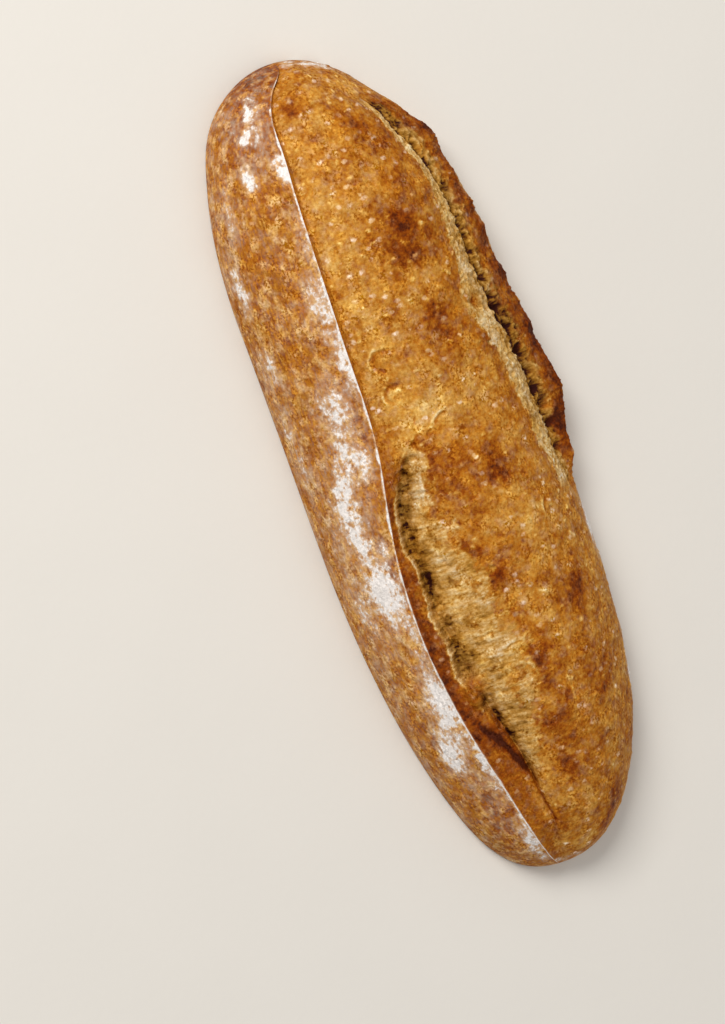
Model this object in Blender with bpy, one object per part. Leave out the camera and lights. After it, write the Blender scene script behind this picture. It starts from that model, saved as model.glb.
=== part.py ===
"""The top half of a short baguette, sliced lengthwise and resting on its cut face.

X runs along the loaf, from the blunt end at -X to the pointed end at +X. The floured flank with the long
ridge of the score faces -Y, the ragged ear of the second score faces +Y, and Z is up from the cut face.
Each cross-section is an arch from one cut edge to the other. A place on the crust is its distance along the
loaf, an angle on the arch (180 degrees at the -Y cut edge, 90 at the crest, 0 at the +Y cut edge) and a
relief along the arch's normal. Angles are in degrees, and heights and depths of relief in metres.
"""

import math
import random

import bmesh
import bpy
from mathutils import Vector, noise

MM = 0.001

# The loaf as a whole. Each end is rounded off over its own length, and the middle drifts from side to side.
LENGTH = 260 * MM
CUT_WIDTH = 83 * MM
CREST_HEIGHT = 34 * MM
BLUNT_END, BLUNT_POWER = 74 * MM, 2.1
POINTED_END, POINTED_POWER = 112 * MM, 2.35
ARCH_POWER = 2.1
MIDDLE_LINE = ((0, -8.6), (12, -8.9), (30, -5.9), (60, -3.3), (100, -1.6), (150, -0.1), (200, 2.4), (230, 3.2),
               (260, 1.7))
LUMP_HEIGHT = 0.8 * MM
LUMP_WAVE = 19 * MM
END_FADE = 0.45

# Lines on the crust, each as points of (mm from the blunt end, degrees on the arch).
RIDGE_LINE = ((0, 86), (8, 110), (25, 117), (80, 121), (116, 123), (150, 131), (175, 134), (200, 133),
              (235, 126), (260, 118))
CREVICE_LINE = ((121, 110), (134, 118), (147, 124), (190, 123), (205, 118), (222, 111), (260, 103))
TORN_LINE = ((121, 108), (136, 102), (160, 97), (195, 93), (215, 97), (232, 103), (260, 100))
LIP_LINE = ((0, 64), (29, 58), (60, 60), (90, 63), (121, 55), (156, 46))
SPLIT_LINE = ((0, 56), (20, 49), (50, 44), (95, 40), (125, 29), (156, 30))
EAR_LINE = ((0, 50), (33, 25), (50, 31), (80, 26), (118, 19), (156, 25))

# The ridge that the score leaves along the -Y flank, the step beside it, and the long tear.
RIDGE_LIFT = 0.8 * MM
RIDGE_LIFT_TORN = 1.8 * MM
RIDGE_SPREAD = 9.0
STEP_WIDTH = 1.8
STEP_DEPTH = 1.2 * MM
TEAR_OPENS, TEAR_OPEN = 121 * MM, 133 * MM
TEAR_CLOSING, TEAR_CLOSED = 205 * MM, 252 * MM
TEAR_DEPTH = 6.5 * MM
TEAR_SLOPE = 1.7
UNTORN_SHARE = 0.36
FIBRE_HEIGHT = 0.5 * MM
FIBRE_WAVE = (5 * MM, 30.0)

# The bloomed crust between the scores, with a dimple where the tear starts.
BLOOM_SWELL = 1.4 * MM
DIMPLE_AT, DIMPLE_SPREAD = 119 * MM, 13 * MM
DIMPLE_DEPTH = 1.3 * MM

# The narrow split along the +Y shoulder, the lip on its one side and the ragged ear on the other.
SPLIT_OPENS, SPLIT_OPEN = 12 * MM, 30 * MM
SPLIT_CLOSING, SPLIT_CLOSED = 138 * MM, 156 * MM
SPLIT_DEPTH = 2.8 * MM
SPLIT_SLOPE = 1.5
EAR_HEIGHTS = ((0, 0.6), (20, 1.2), (33, 2.4), (50, 1.2), (80, 1.4), (100, 3.0), (118, 6.2), (130, 4.4),
               (156, 0.8))
RAGGED_HEIGHT = 1.1 * MM
RAGGED_ANGLE = 2.2
RAGGED_WAVE = 7 * MM
RAGGED_ROW, RAGGED_LEVEL = 7.3, 0.5

# The mesh: stations along the loaf, and columns across each stretch of the arch.
STATIONS = 114
END_CROWDING = 0.8
SKIN_COLUMNS = 11
FACE_COLUMNS = 4
TORN_COLUMNS = 7
CRUST_COLUMNS = 8
LIP_COLUMNS = 3
EAR_COLUMNS = 3
FLANK_COLUMNS = 6
SHARP_ANGLE = 35.0

# The open pores of the crumb in the cut face, the largest placed first.
PORE_SEED = 11
PORE_COUNT = 30
PORE_TRIES = 400
PORE_RADII = (1.8 * MM, 6.6 * MM)
PORE_CROWDING = 1.5
PORE_STRETCH = (1.0, 1.7)
PORE_DEPTH = (0.55, 0.9)
PORE_TURN = 40.0
PORE_GAP = 1.5 * MM
PORE_EDGE = 4.0 * MM
REST_SPOT_RADIUS = 6 * MM


def blend(low, high, share):
    return low + (high - low) * share


def smooth_step(low, high, value):
    """0 below low, 1 above high, and an S-shaped rise between them."""
    share = min(1.0, max(0.0, (value - low) / (high - low)))
    return share * share * (3 - 2 * share)


def bell(value, centre, spread):
    """A hump of height 1 round the centre."""
    return math.exp(-(((value - centre) / spread) ** 2))


def on_line(points, along):
    """The value at this distance along of a smooth curve through points of (mm, value)."""
    x = along / MM
    last = len(points) - 1
    k = max(0, min(last - 1, sum(point[0] <= x for point in points) - 1))

    def slope(at):
        (x0, y0), (x1, y1) = points[max(0, at - 1)], points[min(last, at + 1)]
        return (y1 - y0) / (x1 - x0)

    (x0, y0), (x1, y1) = points[k], points[k + 1]
    run = x1 - x0
    t = min(1.0, max(0.0, (x - x0) / run))
    rise = smooth_step(0, 1, t)
    return blend(y0, y1, rise) + run * t * (1 - t) * ((1 - t) * slope(k) - t * slope(k + 1))


def taper(along):
    """The share of the full section at this distance from the blunt end."""
    blunt = max(0.0, 1 - along / BLUNT_END) ** BLUNT_POWER
    pointed = max(0.0, 1 - (LENGTH - along) / POINTED_END) ** POINTED_POWER
    return max(0.0, 1 - blunt) ** (1 / BLUNT_POWER) * max(0.0, 1 - pointed) ** (1 / POINTED_POWER)


def arch_point(along, angle):
    """The plain arch, without relief."""
    share, a = taper(along), math.radians(angle)
    power = 2 / ARCH_POWER
    y = CUT_WIDTH / 2 * share * math.copysign(abs(math.cos(a)) ** power, math.cos(a))
    z = CREST_HEIGHT * share * max(0.0, math.sin(a)) ** power
    return Vector((along - LENGTH / 2, y + on_line(MIDDLE_LINE, along) * MM, z))


def arch_normal(angle):
    """The direction that relief follows, which never dips below the cut face."""
    a = math.radians(angle)
    return Vector((0, math.cos(a) / CUT_WIDTH * 2, math.sin(a) / CREST_HEIGHT)).normalized()


def tear_share(along):
    """How far the tear beside the ridge is open here, from 0 to 1."""
    return smooth_step(TEAR_OPENS, TEAR_OPEN, along) * (1 - smooth_step(TEAR_CLOSING, TEAR_CLOSED, along))


def split_share(along):
    """How far the split along the +Y shoulder is open here, from 0 to 1."""
    return smooth_step(SPLIT_OPENS, SPLIT_OPEN, along) * (1 - smooth_step(SPLIT_CLOSING, SPLIT_CLOSED, along))


def ragged(along, row):
    """The unevenness of one of the torn edges, from about -1 to 1."""
    return 2 * noise.noise(Vector((along / RAGGED_WAVE, RAGGED_ROW * row, RAGGED_LEVEL)))


def spread(start, end, count):
    """Evenly spaced angles with the share of the way, leaving out the end itself."""
    return [(blend(start, end, k / count), k / count) for k in range(count)]


def section(along):
    """The (angle, relief) of each column of the section here, from the -Y cut edge to the +Y one."""
    tear, split = tear_share(along), split_share(along)
    ridge = on_line(RIDGE_LINE, along)
    torn = smooth_step(TEAR_OPENS - 12 * MM, TEAR_OPEN, along)
    foot = blend(ridge - STEP_WIDTH, on_line(CREVICE_LINE, along), torn)
    lip = on_line(LIP_LINE, along) + RAGGED_ANGLE * ragged(along, 2) * split
    torn_edge = blend(blend(foot, lip, UNTORN_SHARE), on_line(TORN_LINE, along), torn)
    torn_edge += RAGGED_ANGLE * ragged(along, 1) * tear
    crevice = on_line(SPLIT_LINE, along)
    ear = on_line(EAR_LINE, along)

    lift = blend(RIDGE_LIFT, RIDGE_LIFT_TORN, tear)
    depth = blend(STEP_DEPTH, TEAR_DEPTH, tear)
    dimple = DIMPLE_DEPTH * bell(along, DIMPLE_AT, DIMPLE_SPREAD)
    ear_lift = (on_line(EAR_HEIGHTS, along) * MM + RAGGED_HEIGHT * ragged(along, 3)) * split

    def bloom(angle):
        """The swell of the crust between the scores."""
        return (BLOOM_SWELL - dimple) * math.sin(math.pi * (foot - angle) / (foot - lip))

    def fibres(angle, share):
        """The strands that the tear leaves across its slope."""
        place = Vector((along / FIBRE_WAVE[0], angle / FIBRE_WAVE[1], 0))
        return FIBRE_HEIGHT * tear * math.sin(math.pi * share) * 2 * noise.noise(place)

    columns = []
    for angle, _ in spread(180, ridge, SKIN_COLUMNS):
        columns.append((angle, lift * math.exp((ridge - angle) / RIDGE_SPREAD)))
    for angle, share in spread(ridge, foot, FACE_COLUMNS):
        columns.append((angle, blend(lift, -depth, share)))
    for angle, share in spread(foot, torn_edge, TORN_COLUMNS):
        columns.append((angle, bloom(angle) - depth * (1 - share) ** TEAR_SLOPE + fibres(angle, share)))
    for angle, _ in spread(torn_edge, lip, CRUST_COLUMNS):
        columns.append((angle, bloom(angle)))
    for angle, share in spread(lip, crevice, LIP_COLUMNS):
        columns.append((angle, -SPLIT_DEPTH * split * share ** SPLIT_SLOPE))
    for angle, share in spread(crevice, ear, EAR_COLUMNS):
        columns.append((angle, blend(-SPLIT_DEPTH * split, ear_lift, share)))
    for angle, _ in spread(ear, 0, FLANK_COLUMNS):
        columns.append((angle, ear_lift * (angle / ear) ** 2))
    columns.append((0.0, 0.0))
    return columns


def crust_point(along, angle, relief):
    """A point of the crust: the arch with its relief, which fades towards the ends and at the cut."""
    fade = smooth_step(0, END_FADE, taper(along))
    lump = noise.noise(arch_point(along, angle) / LUMP_WAVE) * math.sin(math.radians(angle))
    return arch_point(along, angle) + arch_normal(angle) * fade * (relief + LUMP_HEIGHT * lump)


def build_loaf(material):
    """The solid half loaf: a grid shaped into the crust, closed by the flat cut face."""
    columns = len(section(LENGTH / 2)) - 1
    bm = bmesh.new()
    bmesh.ops.create_grid(bm, x_segments=STATIONS, y_segments=columns, size=0.5)
    stations = {}
    for vert in bm.verts:
        station = round((vert.co.x + 0.5) * STATIONS)
        column = round((0.5 - vert.co.y) * columns)
        if station not in stations:
            even = station / STATIONS
            along = LENGTH * blend(even, (1 - math.cos(math.pi * even)) / 2, END_CROWDING)
            stations[station] = (along, section(along))
        along, places = stations[station]
        vert.co = crust_point(along, *places[column])
    bmesh.ops.remove_doubles(bm, verts=bm.verts, dist=0.001 * MM)
    bmesh.ops.holes_fill(bm, edges=[edge for edge in bm.edges if edge.is_boundary], sides=0)
    bmesh.ops.recalc_face_normals(bm, faces=bm.faces)
    mesh = bpy.data.meshes.new("baguette_half")
    bm.to_mesh(mesh)
    bm.free()
    mesh.shade_smooth()
    mesh.set_sharp_from_angle(angle=math.radians(SHARP_ANGLE))
    mesh.materials.append(material)
    loaf = bpy.data.objects.new("baguette_half", mesh)
    bpy.context.scene.collection.objects.link(loaf)
    return loaf


def pore_places():
    """Centre, radius, stretch, depth share and turn of each large pore, spread over the cut face."""
    draw = random.Random(PORE_SEED)
    small, large = PORE_RADII
    pores = []
    for number in range(PORE_COUNT):
        radius = blend(large, small, (number / (PORE_COUNT - 1)) ** (1 / PORE_CROWDING))
        stretch = draw.uniform(*PORE_STRETCH)
        reach = radius * stretch
        for _ in range(PORE_TRIES):
            along = draw.uniform(reach, LENGTH - reach)
            room = CUT_WIDTH / 2 * min(taper(along - reach), taper(along + reach)) - radius - PORE_EDGE
            side = draw.uniform(-1, 1) * room
            centre = Vector((along - LENGTH / 2, side + on_line(MIDDLE_LINE, along) * MM))
            taken = [(spot, size * long + PORE_GAP) for spot, size, long, *_ in pores]
            taken.append((Vector((0, 0)), REST_SPOT_RADIUS))
            if room > 0 and all((centre - spot).length > reach + size for spot, size in taken):
                turn = draw.uniform(-1, 1) * PORE_TURN
                pores.append((centre, radius, stretch, draw.uniform(*PORE_DEPTH), turn))
                break
    return pores


def cut_pores(loaf):
    """Scoops the large pores out of the cut face."""
    cutters = bpy.data.collections.new("pore_cutters")
    cutters.hide_render = True
    bpy.context.scene.collection.children.link(cutters)
    bm = bmesh.new()
    bmesh.ops.create_icosphere(bm, subdivisions=2, radius=1)
    ball = bpy.data.meshes.new("pore_ball")
    bm.to_mesh(ball)
    bm.free()
    for number, (centre, radius, stretch, depth, turn) in enumerate(pore_places()):
        cutter = bpy.data.objects.new(f"pore_cutter_{number}", ball)
        cutter.location = (centre.x, centre.y, 0)
        cutter.scale = (radius * stretch, radius, 2 * radius * depth)
        cutter.rotation_euler = (0, 0, math.radians(turn))
        cutter.hide_render = True
        cutter.display_type = "WIRE"
        cutters.objects.link(cutter)
    scoop = loaf.modifiers.new("pores", "BOOLEAN")
    scoop.operation = "DIFFERENCE"
    scoop.operand_type = "COLLECTION"
    scoop.collection = cutters
    scoop.solver = "EXACT"


def baked_crust():
    """The golden brown of the crust, which covers most of the loaf."""
    material = bpy.data.materials.new("crust")
    material.use_nodes = True
    shader = material.node_tree.nodes["Principled BSDF"]
    shader.inputs["Base Color"].default_value = (0.50, 0.25, 0.075, 1)
    shader.inputs["Roughness"].default_value = 0.6
    shader.inputs["Metallic"].default_value = 0.0
    return material


def main():
    for obj in list(bpy.data.objects):
        bpy.data.objects.remove(obj)
    cut_pores(build_loaf(baked_crust()))


main()
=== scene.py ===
"""The looks of a short baguette's top half: floured skin, bloomed crust, ragged ear and open crumb.

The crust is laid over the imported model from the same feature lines, at a finer grain. A place on it is its
distance along the loaf in millimetres and an angle on the arch in degrees: 180 at the -Y cut edge, 90 at the
crest and 0 at the +Y cut edge. Lengths are in millimetres until a mesh is made.
"""

import logging
import math
import random
from dataclasses import dataclass, field
from enum import Enum
from typing import Any, Mapping, Sequence

import bpy
import numpy as np
from mathutils import Matrix, Vector, noise


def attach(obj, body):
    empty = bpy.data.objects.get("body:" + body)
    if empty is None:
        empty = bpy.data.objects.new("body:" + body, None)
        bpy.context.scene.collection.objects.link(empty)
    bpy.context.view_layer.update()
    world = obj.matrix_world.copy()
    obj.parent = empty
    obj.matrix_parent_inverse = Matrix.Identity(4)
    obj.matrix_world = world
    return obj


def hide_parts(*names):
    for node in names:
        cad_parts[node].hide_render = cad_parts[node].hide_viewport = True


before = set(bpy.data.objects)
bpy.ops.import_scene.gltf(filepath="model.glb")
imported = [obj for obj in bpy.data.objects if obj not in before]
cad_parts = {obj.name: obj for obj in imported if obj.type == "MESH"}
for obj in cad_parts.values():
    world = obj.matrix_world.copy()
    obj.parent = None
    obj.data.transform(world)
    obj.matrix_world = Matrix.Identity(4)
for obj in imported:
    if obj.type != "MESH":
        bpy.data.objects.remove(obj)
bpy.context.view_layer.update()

Array = np.ndarray
Line = tuple[tuple[float, float], ...]
Colour = tuple[float, float, float]

NODE = "baguette_half"
BODY = "root"
MM = 0.001
MM_PER_DEGREE = 0.66
log = logging.getLogger("baguette")


# ---------------------------------------------------------------------------------------------- measures


def blend(low: Any, high: Any, share: Any) -> Any:
    """The value at this share of the way from low to high."""
    return low + (high - low) * share


def smooth_step(low: float, high: float, value: Any) -> Any:
    """0 below low, 1 above high, and an S-shaped rise between them."""
    share = np.clip((value - low) / (high - low), 0.0, 1.0)
    return share * share * (3 - 2 * share)


def bell(value: Any, centre: float, spread: float) -> Any:
    """A hump of height 1 round the centre."""
    return np.exp(-(((value - centre) / spread) ** 2))


def on_line(points: Line, along: Array) -> Array:
    """Values of a smooth curve through points.

    Args:
        points: (mm from the blunt end, value) pairs.
        along: distances from the blunt end, in mm.

    Returns:
        The curve's value at each distance.
    """
    x, y = np.array(points, float).T
    before, after = np.maximum(np.arange(len(x)) - 1, 0), np.minimum(np.arange(len(x)) + 1, len(x) - 1)
    slope = (y[after] - y[before]) / (x[after] - x[before])
    k = np.clip(np.searchsorted(x, along, side="right") - 1, 0, len(x) - 2)
    run = x[k + 1] - x[k]
    t = np.clip((along - x[k]) / run, 0.0, 1.0)
    swing = run * t * (1 - t) * ((1 - t) * slope[k] - t * slope[k + 1])
    return blend(y[k], y[k + 1], smooth_step(0, 1, t)) + swing


def shade(red: int, green: int, blue: int) -> Colour:
    """A linear colour from its screen values, 0 to 255."""
    steps = (channel / 255 for channel in (red, green, blue))
    return tuple(s / 12.92 if s <= 0.04045 else ((s + 0.055) / 1.055) ** 2.4 for s in steps)


class Grain:
    """Repeatable gradient and cell noise over whole arrays of points."""

    TABLE = 1024

    def __init__(self, seed: int) -> None:
        """Draws the tables that every later call reads.

        Args:
            seed: starts the draw.
        """
        draw = np.random.default_rng(seed)
        ways = draw.normal(size=(self.TABLE, 3))
        self._ways = ways / np.linalg.norm(ways, axis=1, keepdims=True)
        self._order = draw.permutation(self.TABLE)
        self._jitter = draw.random((self.TABLE, 3))
        self._lot = draw.random(self.TABLE)

    def _pick(self, cell: Array) -> Array:
        """The table row of each whole-number cell."""
        mask, order = self.TABLE - 1, self._order
        return order[(order[(order[cell[..., 0] & mask] + cell[..., 1]) & mask] + cell[..., 2]) & mask]

    def wave(self, points: Array) -> Array:
        """Smooth noise of about -1 to 1 whose waves are one unit long.

        Args:
            points: an array whose last axis holds three coordinates.

        Returns:
            One value for each point.
        """
        cell = np.floor(points).astype(int)
        inside = points - cell
        fade = inside * inside * inside * (inside * (inside * 6 - 15) + 10)
        total = np.zeros(points.shape[:-1])
        for corner in np.ndindex(2, 2, 2):
            way = self._ways[self._pick(cell + np.array(corner))]
            weight = np.prod(np.where(corner, fade, 1 - fade), axis=-1)
            total += weight * np.sum(way * (inside - np.array(corner)), axis=-1)
        return 1.9 * total

    def cloud(self, points: Array, octaves: int = 3, keep: float = 0.5) -> Array:
        """Several waves on each other, each half as long as the last.

        Args:
            points: an array whose last axis holds three coordinates.
            octaves: how many waves.
            keep: each wave's height, as a share of the last one's.

        Returns:
            One value of about -1 to 1 for each point.
        """
        total, height, reach = np.zeros(points.shape[:-1]), 1.0, 0.0
        for octave in range(octaves):
            total += height * self.wave(points * 2**octave + 17.3 * octave)
            reach += height
            height *= keep
        return total / reach

    def cells(self, points: Array) -> tuple[Array, Array, Array]:
        """The nearest of a scatter of seeds, one in each unit cube.

        Args:
            points: an array whose last axis holds three coordinates.

        Returns:
            The distance to the nearest seed, to the second nearest, and the nearest one's lot from 0 to 1.
        """
        home = np.floor(points).astype(int)
        first = np.full(points.shape[:-1], 9.0)
        second = first.copy()
        lot = np.zeros(points.shape[:-1])
        for step in np.ndindex(3, 3, 3):
            cell = home + np.array(step) - 1
            row = self._pick(cell)
            away = np.linalg.norm(points - cell - self._jitter[row], axis=-1)
            nearer = away < first
            second = np.where(nearer, first, np.minimum(second, away))
            lot = np.where(nearer, self._lot[row], lot)
            first = np.where(nearer, away, first)
        return first, second, lot


@dataclass(frozen=True)
class Waves:
    """Round unevenness: the length of its waves in mm, their height, and where the noise is read."""

    size: float
    height: float = 1.0
    shift: float = 0.0
    octaves: int = 3
    keep: float = 0.5

    def over(self, grain: Grain, ground: Array) -> Array:
        """Its height at each point of the ground."""
        return self.height * grain.cloud(ground / self.size + self.shift, self.octaves, self.keep)


@dataclass(frozen=True)
class Streaks:
    """Drawn-out unevenness, by its waves' length in mm along the loaf and in degrees across it."""

    long: float
    wide: float
    layer: float = 0.0
    height: float = 1.0
    octaves: int = 3
    keep: float = 0.5

    def over(self, grain: Grain, sheet: "Surface", push: Any = 0.0) -> Array:
        """Its height on the sheet.

        Args:
            grain: the noise.
            sheet: the places.
            push: how many waves further along it is read.

        Returns:
            Its height at each place.
        """
        place = sheet.unrolled(self.long, self.wide, self.layer)
        place[..., 0] += push
        return self.height * grain.cloud(place, self.octaves, self.keep)


@dataclass(frozen=True)
class Bubbles:
    """Round spots in some of a scatter of cells: how rare they are, and from where to where they fade."""

    rare: tuple[float, float]
    fade: tuple[float, float]

    def over(self, near: Array, lot: Array) -> Array:
        """1 in the middle of a spot, by the distance to a cell's middle and the cell's lot."""
        return smooth_step(*self.rare, lot) * (1 - smooth_step(*self.fade, near))


# -------------------------------------------------------------------------------------------- the form


class Stretch(Enum):
    """The stretches of the arch, from the -Y cut edge to the +Y one."""

    SKIN = "skin"
    FACE = "face"
    TORN = "torn"
    CRUST = "crust"
    SLOPE = "slope"
    EAR = "ear"
    FLANK = "flank"


@dataclass(frozen=True)
class Patch:
    """A soft-edged spot on the crust: its place in mm and degrees, its reach, and its strength."""

    along: float
    angle: float
    long: float
    wide: float
    strength: float

    def cover(self, along: Array, angle: Array) -> Array:
        """How strongly the spot covers each place.

        Args:
            along: distances from the blunt end, in mm.
            angle: angles on the arch, in degrees.

        Returns:
            The spot's strength at its middle, falling to 0.
        """
        return self.strength * np.exp(
            -(((along - self.along) / self.long) ** 2) - ((angle - self.angle) / self.wide) ** 2
        )


def patches(*rows: tuple[float, float, float, float, float]) -> tuple[Patch, ...]:
    """Patches from rows of place along, angle, reach along, reach across and strength."""
    return tuple(Patch(*row) for row in rows)


def covered(spots: Sequence[Patch], along: Array, angle: Array) -> Array:
    """The spots' strengths at each place, added up."""
    return sum(spot.cover(along, angle) for spot in spots)


@dataclass(frozen=True)
class Crack:
    """A thin line on the crust: a fissure if its relief is below 0, the edge of a flake if it is above. Its
    tone paints shade into a fissure, and paler crust with painted light onto an edge.
    """

    points: Line
    width: float
    relief: float
    # above 0: painted shade in a fissure; below 0: paler crust and painted light on a raised edge
    tone: float

    def cover(self, along: Array, angle: Array) -> Array:
        """How strongly the crack covers each place.

        Args:
            along: distances from the blunt end, in mm.
            angle: angles on the arch, in degrees.

        Returns:
            1 on the line, falling to 0 beside it.
        """
        scale = np.array([1.0, MM_PER_DEGREE])
        place = np.stack([along, angle], axis=-1) * scale
        away = np.full(along.shape, np.inf)
        for start, end in zip(self.points, self.points[1:]):
            start, end = np.array(start) * scale, np.array(end) * scale
            run = end - start
            share = np.clip((place - start) @ run / (run @ run), 0, 1)[..., None]
            away = np.minimum(away, np.linalg.norm(place - start - share * run, axis=-1))
        return np.exp(-((away / self.width) ** 2))


@dataclass(frozen=True)
class LoafForm:
    """The loaf's sizes and feature lines, in millimetres and degrees."""

    length: float = 260.0
    cut_width: float = 83.0
    crest_height: float = 34.0
    blunt_end: float = 74.0
    blunt_power: float = 2.1
    pointed_end: float = 112.0
    pointed_power: float = 2.35
    arch_power: float = 2.1
    lump_height: float = 0.8
    lump_wave: float = 19.0
    end_fade: float = 0.45
    middle: Line = ((0, -8.6), (12, -8.9), (30, -5.9), (60, -3.3), (100, -1.6), (150, -0.1), (200, 2.4),
                    (230, 3.2), (260, 1.7))

    ridge: Line = ((0, 86), (8, 110), (25, 117), (80, 121), (116, 123), (150, 131), (175, 134), (200, 133),
                   (235, 126), (260, 118))
    crevice: Line = ((121, 110), (134, 118), (147, 124), (190, 123), (205, 118), (222, 111), (260, 103))
    torn: Line = ((121, 108), (136, 102), (160, 97), (195, 93), (215, 97), (232, 103), (260, 100))
    lip: Line = ((0, 64), (29, 57), (40, 56.5), (60, 61.5), (78, 63), (92, 65.5), (104, 59.5), (121, 53.5),
                 (156, 45))
    split: Line = ((0, 56), (20, 50), (45, 46), (70, 47.5), (88, 45.5), (100, 40.5), (112, 35.5), (125, 31),
                   (156, 30))
    ear: Line = ((0, 50), (33, 25), (50, 31), (80, 26), (118, 19), (156, 25))

    ridge_lift: float = 0.8
    ridge_lift_torn: float = 1.8
    ridge_spread: float = 9.0
    step_width: float = 1.8
    step_depth: float = 1.2
    tear_start: tuple[float, float] = (121.0, 133.0)
    tear_end: tuple[float, float] = (205.0, 252.0)
    tear_depth: float = 6.5
    tear_slope: float = 1.7
    tear_run_in: float = 12.0
    untorn_share: float = 0.36

    bloom_swell: float = 1.4
    dimple_at: float = 119.0
    dimple_spread: float = 13.0
    dimple_depth: float = 1.3

    split_start: tuple[float, float] = (12.0, 30.0)
    split_end: tuple[float, float] = (138.0, 156.0)
    split_depth: float = 2.1
    split_slope: float = 1.5
    ear_heights: Line = ((0, 0.6), (20, 1.2), (33, 2.4), (50, 1.2), (80, 1.4), (100, 3.0), (118, 6.2),
                         (130, 4.4), (156, 0.8))
    ragged_height: float = 0.8
    ragged_angle: float = 2.2
    ragged_wave: float = 7.0

    def taper(self, along: Array) -> Array:
        """The share of the full section at each distance from the blunt end.

        Args:
            along: distances from the blunt end, in mm.

        Returns:
            The shares, from 0 at the ends to 1.
        """
        blunt = np.maximum(0.0, 1 - along / self.blunt_end) ** self.blunt_power
        pointed = np.maximum(0.0, 1 - (self.length - along) / self.pointed_end) ** self.pointed_power
        near = np.maximum(0.0, 1 - blunt) ** (1 / self.blunt_power)
        return near * np.maximum(0.0, 1 - pointed) ** (1 / self.pointed_power)

    def inset(self, along: Array, side: Array) -> Array:
        """The distance of places on the cut face from its outline.

        Args:
            along: distances from the blunt end.
            side: distances from the middle line.

        Returns:
            About the shortest distance to the outline, which is exact where the outline is straight.
        """
        spots = np.linspace(0, self.length, 4001)
        half = self.cut_width / 2 * self.taper(spots)
        widest = int(np.argmax(half))
        before = along - np.interp(side, half[: widest + 1], spots[: widest + 1])
        after = np.interp(side, half[:widest:-1], spots[:widest:-1]) - along
        ahead = np.maximum(np.minimum(before, after), 1e-6)
        aside = np.maximum(self.cut_width / 2 * self.taper(along) - side, 1e-6)
        return ahead * aside / np.hypot(ahead, aside)

    def arch(self, along: Array, angle: Array) -> Array:
        """Points of the plain arch, without relief.

        Args:
            along: distances from the blunt end, in mm.
            angle: angles on the arch, in degrees.

        Returns:
            The points, in mm.
        """
        share, a, power = self.taper(along), np.radians(angle), 2 / self.arch_power
        side = np.copysign(np.abs(np.cos(a)) ** power, np.cos(a))
        y = self.cut_width / 2 * share * side + on_line(self.middle, along)
        z = self.crest_height * share * np.maximum(0.0, np.sin(a)) ** power
        return np.stack([along - self.length / 2, y, z], axis=-1)

    def outward(self, angle: Array) -> Array:
        """The direction that relief follows at each angle.

        Args:
            angle: angles on the arch, in degrees.

        Returns:
            Unit directions.
        """
        a = np.radians(angle)
        way = np.stack([0 * a, np.cos(a) / self.cut_width * 2, np.sin(a) / self.crest_height], axis=-1)
        return way / np.linalg.norm(way, axis=-1, keepdims=True)

    def tear(self, along: Array) -> Array:
        """How far the tear beside the ridge is open, from 0 to 1."""
        return smooth_step(*self.tear_start, along) * (1 - smooth_step(*self.tear_end, along))

    def gap(self, along: Array) -> Array:
        """How far the split along the +Y shoulder is open, from 0 to 1."""
        return smooth_step(*self.split_start, along) * (1 - smooth_step(*self.split_end, along))

    def ragged(self, along: Array, row: int) -> Array:
        """The unevenness of a torn edge, from about -1 to 1."""
        places = [Vector((x / self.ragged_wave, 7.3 * row, 0.5)) for x in along]
        return np.array([2 * noise.noise(place) for place in places])

    def stations(self, count: int) -> Array:
        """Distances from the blunt end, evenly spaced along the outline of the cut face.

        Args:
            count: how many stretches the stations mark off.

        Returns:
            count + 1 distances, from 0 to the length.
        """
        fine = self.length * (1 - np.cos(np.linspace(0, math.pi, 8001))) / 2
        edge = self.cut_width / 2 * self.taper(fine)
        gone = np.concatenate([[0], np.cumsum(np.hypot(np.diff(fine), np.diff(edge)))])
        return np.interp(np.linspace(0, gone[-1], count + 1), gone, fine)


@dataclass
class Surface:
    """A sheet of crust as arrays of stations by columns."""

    along: Array
    angle: Array
    relief: Array
    share: Array
    stretch: list[Stretch]
    tear: Array
    gap: Array
    ground: Array
    marks: dict[str, Array] = field(default_factory=dict)

    def where(self, *stretches: Stretch) -> Array:
        """1 on the columns of these stretches and 0 on the others."""
        return np.array([one in stretches for one in self.stretch], float)[None, :]

    def unrolled(self, long: float, wide: float, layer: float = 0.0) -> Array:
        """Coordinates for noise that is long mm along the loaf and wide degrees across it."""
        return np.stack([self.along / long, self.angle / wide, np.full_like(self.along, layer)], axis=-1)


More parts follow.
